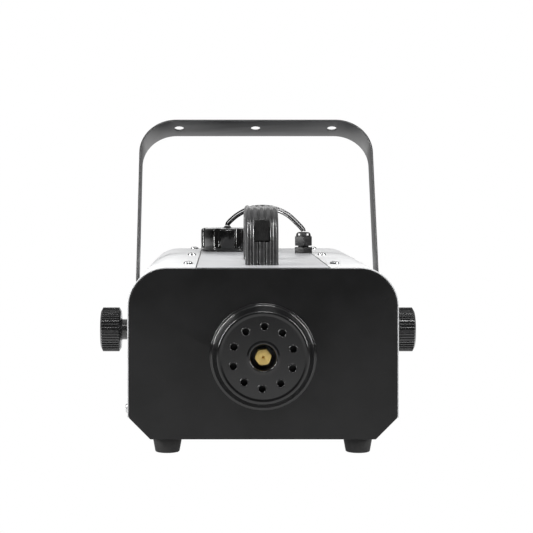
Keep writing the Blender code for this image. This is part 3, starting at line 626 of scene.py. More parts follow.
    @classmethod
    def smooth(cls, obj: bpy.types.Object, angle: float = 32.0) -> bpy.types.Object:
        """Shade smooth, with edges above an angle left sharp."""
        cls.activate(obj)
        bpy.ops.object.shade_smooth_by_angle(angle=math.radians(angle))
        return obj


def arc(centre: tuple[float, float], radius: float, start: float, end: float, steps: int) -> list[tuple[float, float]]:
    """Points on an arc, angles in degrees."""
    points = []
    for k in range(steps + 1):
        angle = math.radians(start + (end - start) * k / steps)
        points.append((centre[0] + radius * math.cos(angle), centre[1] + radius * math.sin(angle)))
    return points


def polygon(sides: int, flats: float, turn: float = 0.0) -> list[tuple[float, float]]:
    """A regular polygon, flats apart across its flats."""
    return arc((0.0, 0.0), flats / 2 / math.cos(math.pi / sides), turn, turn + 360.0, sides)[:-1]


@dataclass(frozen=True)
class Room:
    """A CAD node's box."""

    low: Vector
    high: Vector

    @classmethod
    def of(cls, node: str) -> "Room":
        """The box of a node at rest."""
        low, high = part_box(node)
        return cls(Vector(low), Vector(high))

    @property
    def middle(self) -> Vector:
        """The box's centre."""
        return (self.low + self.high) / 2

    @property
    def size(self) -> Vector:
        """The box's lengths."""
        return self.high - self.low


@dataclass
class Assembly:
    """A group of pieces that are modelled, dressed and placed together."""

    paints: Paints
    made: list[str] = field(default_factory=list, init=False)

    def place(self, obj: bpy.types.Object, paint: bpy.types.Material, slot: Slot, body: Body = Body.ROOT,
              replaces: Sequence[str] = (), smooth: float = 32.0) -> bpy.types.Object:
        """Dress a finished piece and let it ride on its body.

        Args:
            obj: the piece.
            paint: its material.
            slot: the record's material slot; not used.
            body: the body it rides on.
            replaces: CAD nodes that it stands for.
            smooth: angle in degrees below which edges are shaded smooth.

        Returns:
            The piece.
        """
        Bench.smooth(obj, smooth)
        obj.data.materials.clear()
        obj.data.materials.append(paint)
        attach(obj, body.value)
        if replaces:
            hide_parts(*replaces)
        self.made.append(obj.name)
        return obj

    def build(self) -> None:
        """Make every piece of the group."""
        raise NotImplementedError


# ------------------------------------------------------------------ housing


@dataclass
class Housing(Assembly):
    """Front panel, rear panel, side covers and top plate."""

    corner: float = 35.5 * MM
    chamfer: float = 20 * MM
    cover_sheet: float = 1.2 * MM
    seam: float = 63 * MM
    gap: float = 0.9 * MM
    arc_steps: int = 28
    nozzle_hole: float = 14 * MM
    gland_hole: float = 5.9 * MM
    neck_hole: float = 25 * MM

    def build(self) -> None:
        """Make the sheet-metal parts."""
        self.build_panel()
        self.build_covers()
        self.build_top()

    def panel_outline(self, room: Room) -> list[tuple[float, float]]:
        """Outline with bevelled lower and rounded upper corners, as (x, z)."""
        half, low, high = room.high.x, room.low.z, room.high.z
        x, z = half - self.corner, high - self.corner
        return [(self.chamfer - half, low), (half - self.chamfer, low), (half, low + self.chamfer),
                *arc((x, z), self.corner, 0, 90, self.arc_steps), *arc((-x, z), self.corner, 90, 180, self.arc_steps),
                (-half, low + self.chamfer)]

    def build_panel(self) -> None:
        """Front panel: a flat sheet with softened edges, open behind the nozzle."""
        room = Room.of("front_panel")
        outline = [(x, room.low.y, z) for x, z in self.panel_outline(room)]
        panel = Bench.extrude("front_panel_sheet", outline, (0, room.size.y, 0))
        Bench.bevel(panel, 0.45 * MM, 3)
        axis_z = Room.of("nozzle_shroud").middle.z
        Bench.drill(panel, "opening", (0, room.low.y, axis_z), Axis.Y, self.nozzle_hole, (-5 * MM, 5 * MM), 64)
        self.place(panel, self.paints.panel, Slot.BLACK_PAINT, replaces=["front_panel"])

    def build_covers(self) -> None:
        """Left and right shells: side wall, rounded shoulder and top strip."""
        for node, side in (("left_cover", -1), ("right_cover", 1)):
            room = Room.of(node)
            outer = max(abs(room.low.x), room.high.x)
            top, foot, sheet = room.high.z, room.low.z, self.cover_sheet
            radius = self.corner + sheet
            x, z = outer - radius, top - radius
            seam = min(abs(room.low.x), abs(room.high.x))
            section = [(outer, foot), *arc((x, z), radius, 0, 90, self.arc_steps), (seam, top),
                       (seam, top - sheet), *arc((x, z), radius - sheet, 90, 0, self.arc_steps), (outer - sheet, foot)]
            outline = [(side * a, room.low.y, b) for a, b in section]
            cover = Bench.extrude(node + "_shell", outline, (0, room.size.y, 0))
            Bench.bevel(cover, 0.35 * MM, 2, 60)
            self.place(cover, self.paints.cover, Slot.COVER_PAINT, replaces=[node])

    def build_top(self) -> None:
        """Centre plate; its lowered flanges run under the covers and are painted black, as painted shade in the seams.
        """
        room = Room.of("top_plate")
        plate = Bench.block("top_plate_sheet", (-self.seam + self.gap, room.low.y, room.high.z - self.cover_sheet),
                            (self.seam - self.gap, room.high.y, room.high.z))
        Bench.bevel(plate, 0.35 * MM, 2)
        for name, side in (("left", -1), ("right", 1)):
            flange_top = room.high.z - self.cover_sheet - 0.3 * MM
            spans = sorted((side * (self.seam - 4 * MM), side * room.high.x))
            flange = Bench.block(f"top_flange_{name}", (spans[0], room.low.y, flange_top - self.cover_sheet),
                                 (spans[1], room.high.y, flange_top))
            Bench.bevel(flange, 0.2 * MM, 1)
            # Painted shade: the flanges take the black panel paint so that the seams between plate and covers show as
            # dark lines.
            self.place(flange, self.paints.panel, Slot.TOP_PAINT)
        gland, neck = Room.of("gland_body").middle, Room.of("tank_cap").middle
        for name, spot, radius in (("gland_hole", gland, self.gland_hole), ("neck_hole", neck, self.neck_hole)):
            Bench.drill(plate, name, (spot.x, spot.y, room.high.z), Axis.Z, radius, (-4 * MM, 4 * MM))
        self.place(plate, self.paints.top, Slot.TOP_PAINT, replaces=["top_plate"])


@dataclass
class Screws(Assembly):
    """Cross-recess pan heads on the covers, the rear panel and the base."""

    head: float = 4.6 * MM
    height: float = 2.7 * MM
    recess: float = 2.9 * MM
    slot_width: float = 0.95 * MM
    row_x: float = 71.5 * MM
    top_depths: tuple[float, ...] = (66 * MM, 262 * MM, 437 * MM)
    first_side_depths: tuple[float, float] = (17 * MM, 70 * MM)
    side_depths: tuple[float, ...] = (226.5 * MM, 436 * MM)
    side_z: float = 41 * MM
    rear_x: float = 108 * MM
    rear_heights: tuple[float, ...] = (45 * MM, 150 * MM)
    base_x: float = 60 * MM
    base_y: float = 60 * MM

    def model(self, name: str) -> bpy.types.Object:
        """One screw head that stands on Z = 0, with its washer face and cross."""
        profile = [(0, -0.6 * MM), (self.head * 0.5, -0.6 * MM), (self.head * 0.5, 0.0), (self.head, 0.0),
                   *[(self.head * math.cos(a) ** 0.55, self.height * math.sin(a) ** 0.8)
                     for a in (math.radians(12 * k) for k in range(1, 7))], (self.head * 0.3, self.height),
                   (0, self.height)]
        head = Bench.turn(name, profile, (0, 0, 0), Axis.Z, 40)
        for k in range(2):
            reach = self.recess if k else self.slot_width
            width = self.slot_width if k else self.recess
            slot = Bench.block("slot", (-reach, -width, self.height - 1.5 * MM), (reach, width, self.height + MM))
            Bench.cut(head, slot)
        return head

    def build(self) -> None:
        """Model one screw and copy it to every place."""
        pattern = self.model("screw_pattern")
        front = Room.of("front_panel").low.y
        top = Room.of("top_plate").high.z
        half = Room.of("right_cover").high.x
        rear = Room.of("rear_panel").high.y
        bottom = Room.of("base_pan").low.z
        places: list[tuple[str, Matrix]] = []
        for hand, side, first in zip(("left", "right"), (-1, 1), self.first_side_depths):
            for k, depth in enumerate(self.top_depths):
                spot = Matrix.Translation((side * self.row_x, front + depth, top))
                places.append((f"cover_screw_{hand}_{k}", spot))
            for k, depth in enumerate((first, *self.side_depths)):
                spot = Matrix.Translation((side * half, front + depth, self.side_z))
                places.append((f"side_screw_{hand}_{k}", spot @ Matrix.Rotation(side * math.pi / 2, 4, "Y")))
            for k, z in enumerate(self.rear_heights):
                spot = Matrix.Translation((side * self.rear_x, rear, z))
                places.append((f"rear_screw_{hand}_{k}", spot @ Matrix.Rotation(-math.pi / 2, 4, "X")))
            for k, y in enumerate((-self.base_y, self.base_y)):
                spot = Matrix.Translation((side * self.base_x, y, bottom))
                places.append((f"base_screw_{hand}_{k}", spot @ Matrix.Rotation(math.pi, 4, "X")))
        for k, (name, spot) in enumerate(places):
            twist = Matrix.Rotation(math.radians(23.0 + 47.0 * k), 4, "Z")
            screw = Bench.copy(pattern, name, spot @ twist)
            self.place(screw, self.paints.steel, Slot.STEEL)
        bpy.data.objects.remove(pattern, do_unlink=True)


# ------------------------------------------------------------------ nozzle


@dataclass
class NozzleFront(Assembly):
    """Vented shroud with rolled edges, and the brass nozzle in its mouth."""

    rim: float = 50.3 * MM
    face: float = 43.4 * MM
    proud: float = 11 * MM
    sheet: float = 1.4 * MM
    mouth: float = 11.6 * MM
    lip: float = 1.5 * MM
    flare: float = 0.6 * MM
    holes: int = 10
    hole: float = 3.25 * MM
    hole_circle: float = 29 * MM
    first_hole: float = 88.0
    nozzle_flats: float = 14 * MM
    nozzle_turn: float = 8.0
    thread_pitch: float = 1.0 * MM

    def build(self) -> None:
        """Make shroud and nozzle."""
        room = Room.of("nozzle_shroud")
        centre = Vector((0, Room.of("front_panel").low.y, room.middle.z))
        self.build_shroud(centre)
        self.build_nozzle(centre)

    def build_shroud(self, centre: Vector) -> None:
        """Spun drum: foot bead, coved wall, rounded shoulder, flat face and rolled mouth."""
        outer = [(self.rim - 1.5 * MM, 0.3 * MM), (self.rim - 0.3 * MM, 0.3 * MM),
                 *arc((self.rim - 1.3 * MM, 1.2 * MM), 1.3 * MM, 0, 80, 6),
                 *arc((self.rim - 0.6 * MM, 5.4 * MM), 2.9 * MM, 262, 200, 6),
                 *arc((self.face - 1.8 * MM, self.proud - 2.2 * MM), 2.2 * MM, 8, 90, 8)]
        dip = self.proud - 0.35 * MM
        mouth = [(self.face - 3.0 * MM, self.proud), (self.face - 4.2 * MM, dip), (self.face - 4.8 * MM, dip),
                 (self.mouth + 4.4 * MM, dip), (self.mouth + 3.8 * MM, dip),
                 *arc((self.mouth + self.lip + self.flare, self.proud - self.lip + 0.2 * MM), self.lip, 70, 165, 7),
                 (self.mouth, self.proud - 4.6 * MM), (self.mouth + self.sheet, self.proud - 4.6 * MM)]
        under = dip - self.sheet
        inner = [(self.mouth + self.sheet, under), (self.face - 2.6 * MM, under), (self.rim - 5.6 * MM, 3.2 * MM),
                 (self.rim - 2.2 * MM, 1.6 * MM)]
        shroud = Bench.turn("nozzle_shroud_drum", outer + mouth + inner, centre, Axis.Y, 144, away=False)
        face_y = centre.y - dip
        lips = []
        for k in range(self.holes):
            angle = math.radians(self.first_hole + 360.0 * k / self.holes)
            spot = centre + Vector((self.hole_circle * math.cos(angle), 0, self.hole_circle * math.sin(angle)))
            Bench.drill(shroud, "vent_drill", spot, Axis.Y, self.hole, (-20 * MM, -2 * MM), 32)
            ring = [(self.hole + a, b) for a, b in
                    arc((0.5 * MM, -0.1 * MM), 0.62 * MM, 10, 185, 8) + [(-0.1 * MM, -1.2 * MM), (0.9 * MM, -0.8 * MM)]]
            lips.append(Bench.turn("vent_lip", ring, (spot.x, face_y, spot.z), Axis.Y, 32, away=False))
        Bench.join(shroud, lips)
        self.place(shroud, self.paints.shroud, Slot.BLACK_PAINT, replaces=["nozzle_shroud"], smooth=40)

    def build_nozzle(self, centre: Vector) -> None:
        """Hexagon with a turned, chamfered face, a jet and a threaded tail."""
        room = Room.of("nozzle")
        flats, tip = self.nozzle_flats, room.low.y
        outline = [(x, tip, centre.z + z) for x, z in polygon(6, flats, self.nozzle_turn)]
        nozzle = Bench.extrude("nozzle_hexagon", outline, (0, 12 * MM, 0))
        cone = [(0, 0), (flats * 0.515, 0), (flats * 0.60, 1.0 * MM), (flats * 0.60, 14 * MM), (0, 14 * MM)]
        Bench.cut(nozzle, Bench.turn("chamfer_cone", cone, (0, tip, centre.z), Axis.Y, 96), "INTERSECT")
        jet = [(0, -1 * MM), (1.4 * MM, -1 * MM), (1.4 * MM, 0.0), (0.95 * MM, 0.6 * MM), (0.95 * MM, 6 * MM),
               (0, 6 * MM)]
        Bench.cut(nozzle, Bench.turn("jet_drill", jet, (0, tip, centre.z), Axis.Y, 32))
        Bench.bevel(nozzle, 0.25 * MM, 2, 30)
        self.place(nozzle, self.paints.brass, Slot.BRASS, replaces=["nozzle"], smooth=25)
        tail = [(0, 12.2 * MM), (4.6 * MM, 12.2 * MM)]
        for k in range(6):
            start = 12.6 * MM + k * self.thread_pitch
            tail += [(4.9 * MM, start), (4.35 * MM, start + self.thread_pitch / 2)]
        tail += [(4.6 * MM, room.size.y), (0, room.size.y)]
        thread = Bench.turn("nozzle_thread", tail, (0, tip, centre.z), Axis.Y, 32)
        self.place(thread, self.paints.plain_brass, Slot.BRASS)


# ------------------------------------------------------------------ yoke


@dataclass
class Yoke(Assembly):
    """Bent flat strap with rounded edges and three holes, leaning back."""

    reach: float = 247 * MM
    strap: float = 37 * MM
    sheet: float = 2.2 * MM
    corner: float = 41 * MM
    hole: float = 5.75 * MM
    hole_pitch: float = 87.4 * MM
    stud_hole: float = 4.6 * MM
    lean: float = math.radians(26.0)

    def build(self) -> None:
        """Draw the strap upright, give it width and thickness, cut it and lean it back."""
        outer = Room.of("yoke_bracket").high.x
        washer = Room.of("right_knob_washer").middle
        pivot = Vector((0, washer.y, washer.z))
        half, top, bend = outer, self.reach, self.corner
        section = [(half, -self.strap), *arc((half - bend, top - bend), bend, 0, 90, 22)]
        section += [(-x, z) for x, z in reversed(section)]
        inner_bend = bend - self.sheet
        inside = [(half - self.sheet, -self.strap), *arc((half - bend, top - bend), inner_bend, 0, 90, 22)]
        inside += [(-x, z) for x, z in reversed(inside)]
        outline = [(x, -self.strap / 2, z) for x, z in section + list(reversed(inside))]
        strap = Bench.extrude("yoke_strap", outline, (0, self.strap, 0))
        self.round_ends(strap, outer)
        Bench.bevel(strap, 0.55 * MM, 3, 50)
        for k in (-1, 0, 1):
            Bench.drill(strap, "strap_drill", (k * self.hole_pitch, 0, top), Axis.Z, self.hole, (-6 * MM, 6 * MM))
        Bench.drill(strap, "pivot_drill", (0, 0, 0), Axis.X, self.stud_hole, (-outer * 1.2, outer * 1.2), 32)
        strap.data.transform(Matrix.Translation(pivot) @ Matrix.Rotation(-self.lean, 4, "X"))
        self.place(strap, self.paints.yoke, Slot.BLACK_PAINT, Body.YOKE, ["yoke_bracket"])

    def round_ends(self, strap: bpy.types.Object, outer: float) -> None:
        """Trim both legs to a half circle round the pivot."""
        r = self.strap / 2
        low = 3 * self.strap
        outline = [(-outer * 1.2, y, z) for y, z in
                   [(-r - MM, 0.0), (-r, 0.0), *arc((0, 0), r, 180, 360, 24), (r + MM, 0.0), (r + MM, -low),
                    (-r - MM, -low)]]
        Bench.cut(strap, Bench.extrude("end_trim", outline, (outer * 2.4, 0, 0)))


@dataclass
class Knobs(Assembly):
    """Ridged clamping knobs with their hubs."""

    radius: float = 23.6 * MM
    ridges: int = 45
    ridge_depth: float = 1.5 * MM
    hub: float = 11 * MM
    chamfer: float = 2.2 * MM
    dish: float = 15 * MM
    grip_width: float = 21.6 * MM

    def build(self) -> None:
        """Model the right knob and mirror it for the left."""
        room = Room.of("right_knob")
        inner = Room.of("right_knob_washer").high.x + 0.3 * MM
        grip = room.high.x - self.grip_width
        centre = Vector((0, room.middle.y, Room.of("right_knob_washer").middle.z))
        knob = self.model(centre, inner, grip, room.high.x)
        mirror = Matrix.Diagonal((-1, 1, 1, 1))
        twin = Bench.copy(knob, "left_knob_grip", mirror)
        for node, obj, body in (("right_knob", knob, Body.RIGHT_KNOB), ("left_knob", twin, Body.LEFT_KNOB)):
            self.place(obj, self.paints.knob, Slot.MATTE_BLACK, body, [node], 28)

    def model(self, centre: Vector, inner: float, grip: float, outer: float) -> bpy.types.Object:
        """Grip with rounded ridges and chamfered rims, on a ribbed hub.

        Args:
            centre: a point on the knob's axis with X = 0.
            inner: X of the hub's inner face.
            grip: X of the grip's inner face.
            outer: X of the grip's outer face.

        Returns:
            The knob.
        """
        root = self.radius - self.ridge_depth
        pitch = 360.0 / self.ridges
        rim = []
        for k in range(self.ridges):
            start = k * pitch
            for share, lift in ((0.0, 0.0), (0.12, 0.5), (0.22, 0.92), (0.33, 1.0), (0.44, 0.92), (0.54, 0.5),
                                (0.66, 0.0)):
                angle = math.radians(start + share * pitch)
                r = root + lift * self.ridge_depth
                rim.append((grip, centre.y + r * math.cos(angle), centre.z + r * math.sin(angle)))
        knob = Bench.extrude("right_knob_grip", rim, (outer - grip, 0, 0))
        lathe = [(0, grip), (root - self.chamfer, grip), (self.radius + 0.1 * MM, grip + self.chamfer),
                 (self.radius + 0.1 * MM, outer - self.chamfer), (root - self.chamfer, outer), (0, outer)]
        Bench.cut(knob, Bench.turn("rim_cone", lathe, (0, centre.y, centre.z), Axis.X, 120), "INTERSECT")
        dish = [(0, outer + MM), (self.dish, outer + MM), (self.dish, outer), (self.dish - 1.2 * MM, outer - 1.0 * MM),
                (5.5 * MM, outer - 1.4 * MM), (5.0 * MM, outer - 6 * MM), (0, outer - 6 * MM)]
        Bench.cut(knob, Bench.turn("dish_cutter", dish, (0, centre.y, centre.z), Axis.X, 72))
        hub = [(4.3 * MM, inner), (self.hub - 0.8 * MM, inner), (self.hub, inner + 0.8 * MM),
               (self.hub, grip - 1.5 * MM),
               (self.hub + 1.5 * MM, grip + 0.2 * MM), (4.3 * MM, grip + 0.2 * MM)]
        return Bench.join(knob, [Bench.turn("hub", hub, (0, centre.y, centre.z), Axis.X, 64)])


# ------------------------------------------------------------------ handle


@dataclass
class CarryHandle(Assembly):
    """Moulded arch with lengthwise ribs on its outer side and a pocket at each end, whose bottom is a near-black sheet
    of painted shade.
    """

    width: float = 32 * MM
    thick: float = 21 * MM
    bend: float = 10 * MM
    ribs: int = 5
    rib_rise: float = 1.9 * MM
    bend_steps: int = 10
    side_profile: tuple[tuple[float, float], ...] = (
        (5.6 * MM, 0.0), (6.4 * MM, 0.9 * MM), (7.2 * MM, 0.0), (11.2 * MM, 0.0), (12.0 * MM, 0.9 * MM),
        (12.8 * MM, 0.0))
    pocket_half: float = 8 * MM
    pocket_low: float = 22 * MM
    pocket_high: float = 44 * MM
    pocket_depth: float = 6 * MM

    def build(self) -> None:
        """Sweep the ribbed section up, over and down, then sink the pockets."""
        room = Room.of("handle")
        base = room.low.z
        front, back = room.low.y, room.high.y
        section = self.section(front, base)
        handle = Bench.draw("handle_arch", section, closed=True)
        bpy.ops.mesh.edge_face_add()
        rise = room.size.z - self.thick - self.bend
        run = room.size.y - 2 * (self.thick + self.bend)
        across = Axis.X.vector
        hinge_z = base + rise
        bpy.ops.mesh.extrude_region_move(TRANSFORM_OT_translate={"value": (0, 0, rise)})
        bpy.ops.mesh.spin(steps=self.bend_steps, angle=math.pi / 2, axis=across,
                          center=(0, front + self.thick + self.bend, hinge_z))
        bpy.ops.mesh.extrude_region_move(TRANSFORM_OT_translate={"value": (0, run, 0)})
        bpy.ops.mesh.spin(steps=self.bend_steps, angle=math.pi / 2, axis=across,
                          center=(0, back - self.thick - self.bend, hinge_z))
        bpy.ops.mesh.extrude_region_move(TRANSFORM_OT_translate={"value": (0, 0, -rise)})
        Bench.close_up()
        for name, face, inward in (("front", front, 1), ("rear", back, -1)):
            self.sink_pocket(handle, name, face, inward, base)
        self.place(handle, self.paints.handle, Slot.GLOSS_BLACK, replaces=["handle"], smooth=45)

    def section(self, front: float, base: float) -> list[Point]:
        """Outline of the leg seen from above: five convex ribs in front, rounded corners behind."""
        half = self.width / 2
        pitch = self.width / self.ribs
        crest = front
        points: list[Point] = []
        for k in range(self.ribs):
            middle = -half + (k + 0.5) * pitch
            edge_drop = 1.2 * MM if k in (0, self.ribs - 1) else 0.0
            for share in (-0.46, -0.36, -0.2, 0.0, 0.2, 0.36, 0.46):
                fall = self.rib_rise * (2 * abs(share)) ** 2.4
                outside = (k == 0 and share < 0) or (k == self.ribs - 1 and share > 0)
                extra = edge_drop * (2 * abs(share)) ** 2 * 2.2 if outside else 0.0
                points.append((middle + share * pitch, crest + fall + extra, base))
        back = front + self.thick
        corner = 3.0 * MM
        side = [(half - sink, front + off) for off, sink in self.side_profile]
        points += [(x, y, base) for x, y in side]
        points += [(x, y, base) for x, y in arc((half - corner, back - corner), corner, 0, 90, 5)]
        points += [(x, y, base) for x, y in arc((-half + corner, back - corner), corner, 90, 180, 5)]
        points += [(-x, y, base) for x, y in reversed(side)]
        return points

    def sink_pocket(self, handle: bpy.types.Object, name: str, face: float, inward: int, base: float) -> None:
        """Cut a rectangular pocket, frame it and line its bottom with a smooth near-black sheet, painted shade that
        makes it read as a deep opening.
        """
        low_z, high_z = base + self.pocket_low, base + self.pocket_high
        spans = sorted((face - inward * 4 * MM, face + inward * self.pocket_depth))
        cutter = Bench.block("pocket_cutter", (-self.pocket_half, spans[0], low_z),
                             (self.pocket_half, spans[1], high_z))
        Bench.bevel(cutter, 1.2 * MM, 3)
        Bench.cut(handle, cutter)
        gap = 0.5 * MM
        spans = sorted(face + inward * (self.pocket_depth - d) for d in (2.5 * MM, 0.05 * MM))
        # The sheet's near-black matte paint is painted shade, standing in for the dark inside a deep opening.
        shade_sheet = Bench.block(f"handle_pocket_shade_{name}", (-self.pocket_half + gap, spans[0], low_z + gap),
                           (self.pocket_half - gap, spans[1], high_z - gap))
        Bench.bevel(shade_sheet, 0.9 * MM, 3)
        self.place(shade_sheet, self.paints.pocket, Slot.GLOSS_BLACK)


# ------------------------------------------------------------------ filler cap, hose and gland


@dataclass
class FillerCap(Assembly):
    """Lobed screw cap with a skirt, and the fitting that the hose leaves by."""

    skirt: float = 31.5 * MM
    lobe: float = 30.9 * MM
    lobes: int = 8
    flute: float = 5.2 * MM
    flute_centre: float = 33.2 * MM
    skirt_height: float = 4.2 * MM

    def build(self) -> None:
        """Turn the cap, flute it and add the fitting."""
        room = Room.of("tank_cap")
        centre = Vector((room.middle.x, room.middle.y, room.low.z))
        height = room.size.z
        profile = [(25.6 * MM, 0.0), (self.lobe, 0.0), (self.lobe, height - 3.2 * MM),
                   *arc((self.lobe - 3.2 * MM, height - 3.2 * MM), 3.2 * MM, 10, 80, 6), (self.lobe - 5.0 * MM, height),
                   (self.lobe - 6.0 * MM, height - 0.5 * MM), (8.5 * MM, height - 0.5 * MM), (7.6 * MM, height),
                   (5.4 * MM, height), (5.4 * MM, height - 2 * MM), (3.8 * MM, height - 2 * MM),
                   (3.8 * MM, height - 6 * MM), (25.6 * MM, height - 6 * MM)]
        cap = Bench.turn("cap_body", profile, centre, Axis.Z, 128)
        for k in range(self.lobes):
            angle = 2 * math.pi * (k + 0.5) / self.lobes
            spot = centre + Vector((self.flute_centre * math.cos(angle), self.flute_centre * math.sin(angle), 0))
            flute = [(0, self.skirt_height), (self.flute - 1.2 * MM, self.skirt_height),
                     (self.flute, self.skirt_height + 1.2 * MM), (self.flute, height + 2 * MM), (0, height + 2 * MM)]
            Bench.cut(cap, Bench.turn("flute_cutter", flute, spot, Axis.Z, 40))
        Bench.bevel(cap, 0.5 * MM, 3, 40)
        self.place(cap, self.paints.cap, Slot.GLOSS_BLACK, Body.CAP, ["tank_cap"], 35)
        skirt = [(self.lobe - 0.5 * MM, 0.1 * MM), (self.skirt - 0.3 * MM, 0.1 * MM), (self.skirt, 0.6 * MM),
                 (self.skirt, 2.2 * MM), (self.skirt - 0.6 * MM, 2.9 * MM), (self.lobe - 0.5 * MM, 3.1 * MM)]
        ring = Bench.turn("cap_skirt", skirt, centre, Axis.Z, 128)
        self.place(ring, self.paints.cap, Slot.GLOSS_BLACK, Body.CAP)
        self.build_fitting(centre)

    def build_fitting(self, centre: Vector) -> None:
        """Moulded nipple in the middle of the cap."""
        room = Room.of("cap_hose_fitting")
        top = room.high.z - centre.z
        profile = [(1.2 * MM, top), (3.2 * MM, top), (3.7 * MM, top - 0.4 * MM), (4.0 * MM, top - 1.2 * MM),
                   (4.9 * MM, top - 2.0 * MM), (4.9 * MM, top - 4.0 * MM), (3.4 * MM, top - 4.1 * MM),
                   (3.4 * MM, top - room.size.z), (1.2 * MM, top - room.size.z)]
        fitting = Bench.turn("cap_nipple", profile, centre, Axis.Z, 48)
        self.place(fitting, self.paints.matte, Slot.MATTE_BLACK, Body.CAP_CARRIER, ["cap_hose_fitting"])


@dataclass
class HoseLoop(Assembly):
    """Fluid hose with the level sensor's lead beside it, from the cap over to the gland."""

    hose: float = 1.8 * MM
    lead: float = 0.95 * MM
    gap: float = 0.3 * MM
    outer_share: float = 0.35
    start_rise: float = 0.6 * MM
    end_z: float = 199.8 * MM
    shape: tuple[tuple[float, float], ...] = (
        (0.0, 0.0), (0.006, 2.0), (0.05, 6.4), (0.13, 12.6), (0.24, 18.6), (0.36, 22.3), (0.48, 23.8),
        (0.60, 23.3), (0.71, 20.9), (0.81, 16.6), (0.89, 10.8), (0.955, 5.4), (0.994, 1.6), (1.0, 0.0))

    def build(self) -> None:
        """Lay both lines from the cap's fitting over to the gland."""
        fitting, gland = Room.of("cap_hose_fitting"), Room.of("gland_body").middle
        start = Vector((fitting.middle.x, fitting.middle.y, fitting.high.z + self.start_rise))
        end = Vector((gland.x, gland.y, self.end_z))
        apart = self.hose + self.lead + 2 * self.gap
        for name, node, radius, step in (("fluid_hose_tube", "fluid_hose", self.hose, self.outer_share * apart),
                                         ("level_lead_wire", "level_lead", self.lead, (self.outer_share - 1) * apart)):
            path = self.refine(self.route(start, end, step))
            line = self.lay(name, path, radius)
            line.data.materials.clear()
            line.data.materials.append(self.paints.hose)
            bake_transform(line)
            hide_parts(node)
            length = sum((b - a).length for a, b in zip(path, path[1:]))
            2 * radius
            self.made.append(line.name)
            LOG.info("%s is %.0f mm long", name, length / MM)

    def route(self, start: Vector, end: Vector, inward_step: float) -> list[Vector]:
        """Points of one line, shifted towards the inside of the loop by a step."""
        middle = [start.lerp(end, share) + Vector((0, 0, rise * MM)) for share, rise in self.shape]
        across = (end - start).cross(Axis.Z.vector).normalized()
        points = []
        for k, point in enumerate(middle):
            along = middle[min(k + 1, len(middle) - 1)] - middle[max(k - 1, 0)]
            if k in (0, len(middle) - 1):
                along = Vector((0, 0, 1 if k == 0 else -1))
            points.append(point + inward_step * along.cross(across).normalized())
        return points

    @staticmethod
    def refine(points: Sequence[Vector], spacing: float = 2.0 * MM) -> list[Vector]:
        """Points about spacing apart on a smooth curve through the given ones."""
        knots = [points[0] * 2 - points[1], *points, points[-1] * 2 - points[-2]]
        path = [knots[1]]
        for a, b, c, d in zip(knots, knots[1:], knots[2:], knots[3:]):
            pieces = max(1, round((c - b).length / spacing))
            for k in range(1, pieces + 1):
                t = k / pieces
                path.append((2 * b + (c - a) * t + (2 * a - 5 * b + 4 * c - d) * t ** 2
                             + (3 * b - a - 3 * c + d) * t ** 3) / 2)
        return path

    @staticmethod
    def lay(name: str, path: Sequence[Vector], radius: float) -> bpy.types.Object:
        """A round tube along a path, as a mesh."""
        curve = bpy.data.curves.new(name, "CURVE")
        curve.dimensions = "3D"
        curve.bevel_depth = radius
        curve.bevel_resolution = 6
        curve.use_fill_caps = True
        spline = curve.splines.new("POLY")
        spline.points.add(len(path) - 1)
        for spot, point in zip(spline.points, path):
            spot.co = (*point, 1.0)
        obj = bpy.data.objects.new(name, curve)
        bpy.context.scene.collection.objects.link(obj)
        Bench.activate(obj)
        bpy.ops.object.convert(target="MESH")
        obj = bpy.context.active_object
        Bench.edit(obj)
        Bench.close_up()
        return Bench.smooth(obj, 50.0)


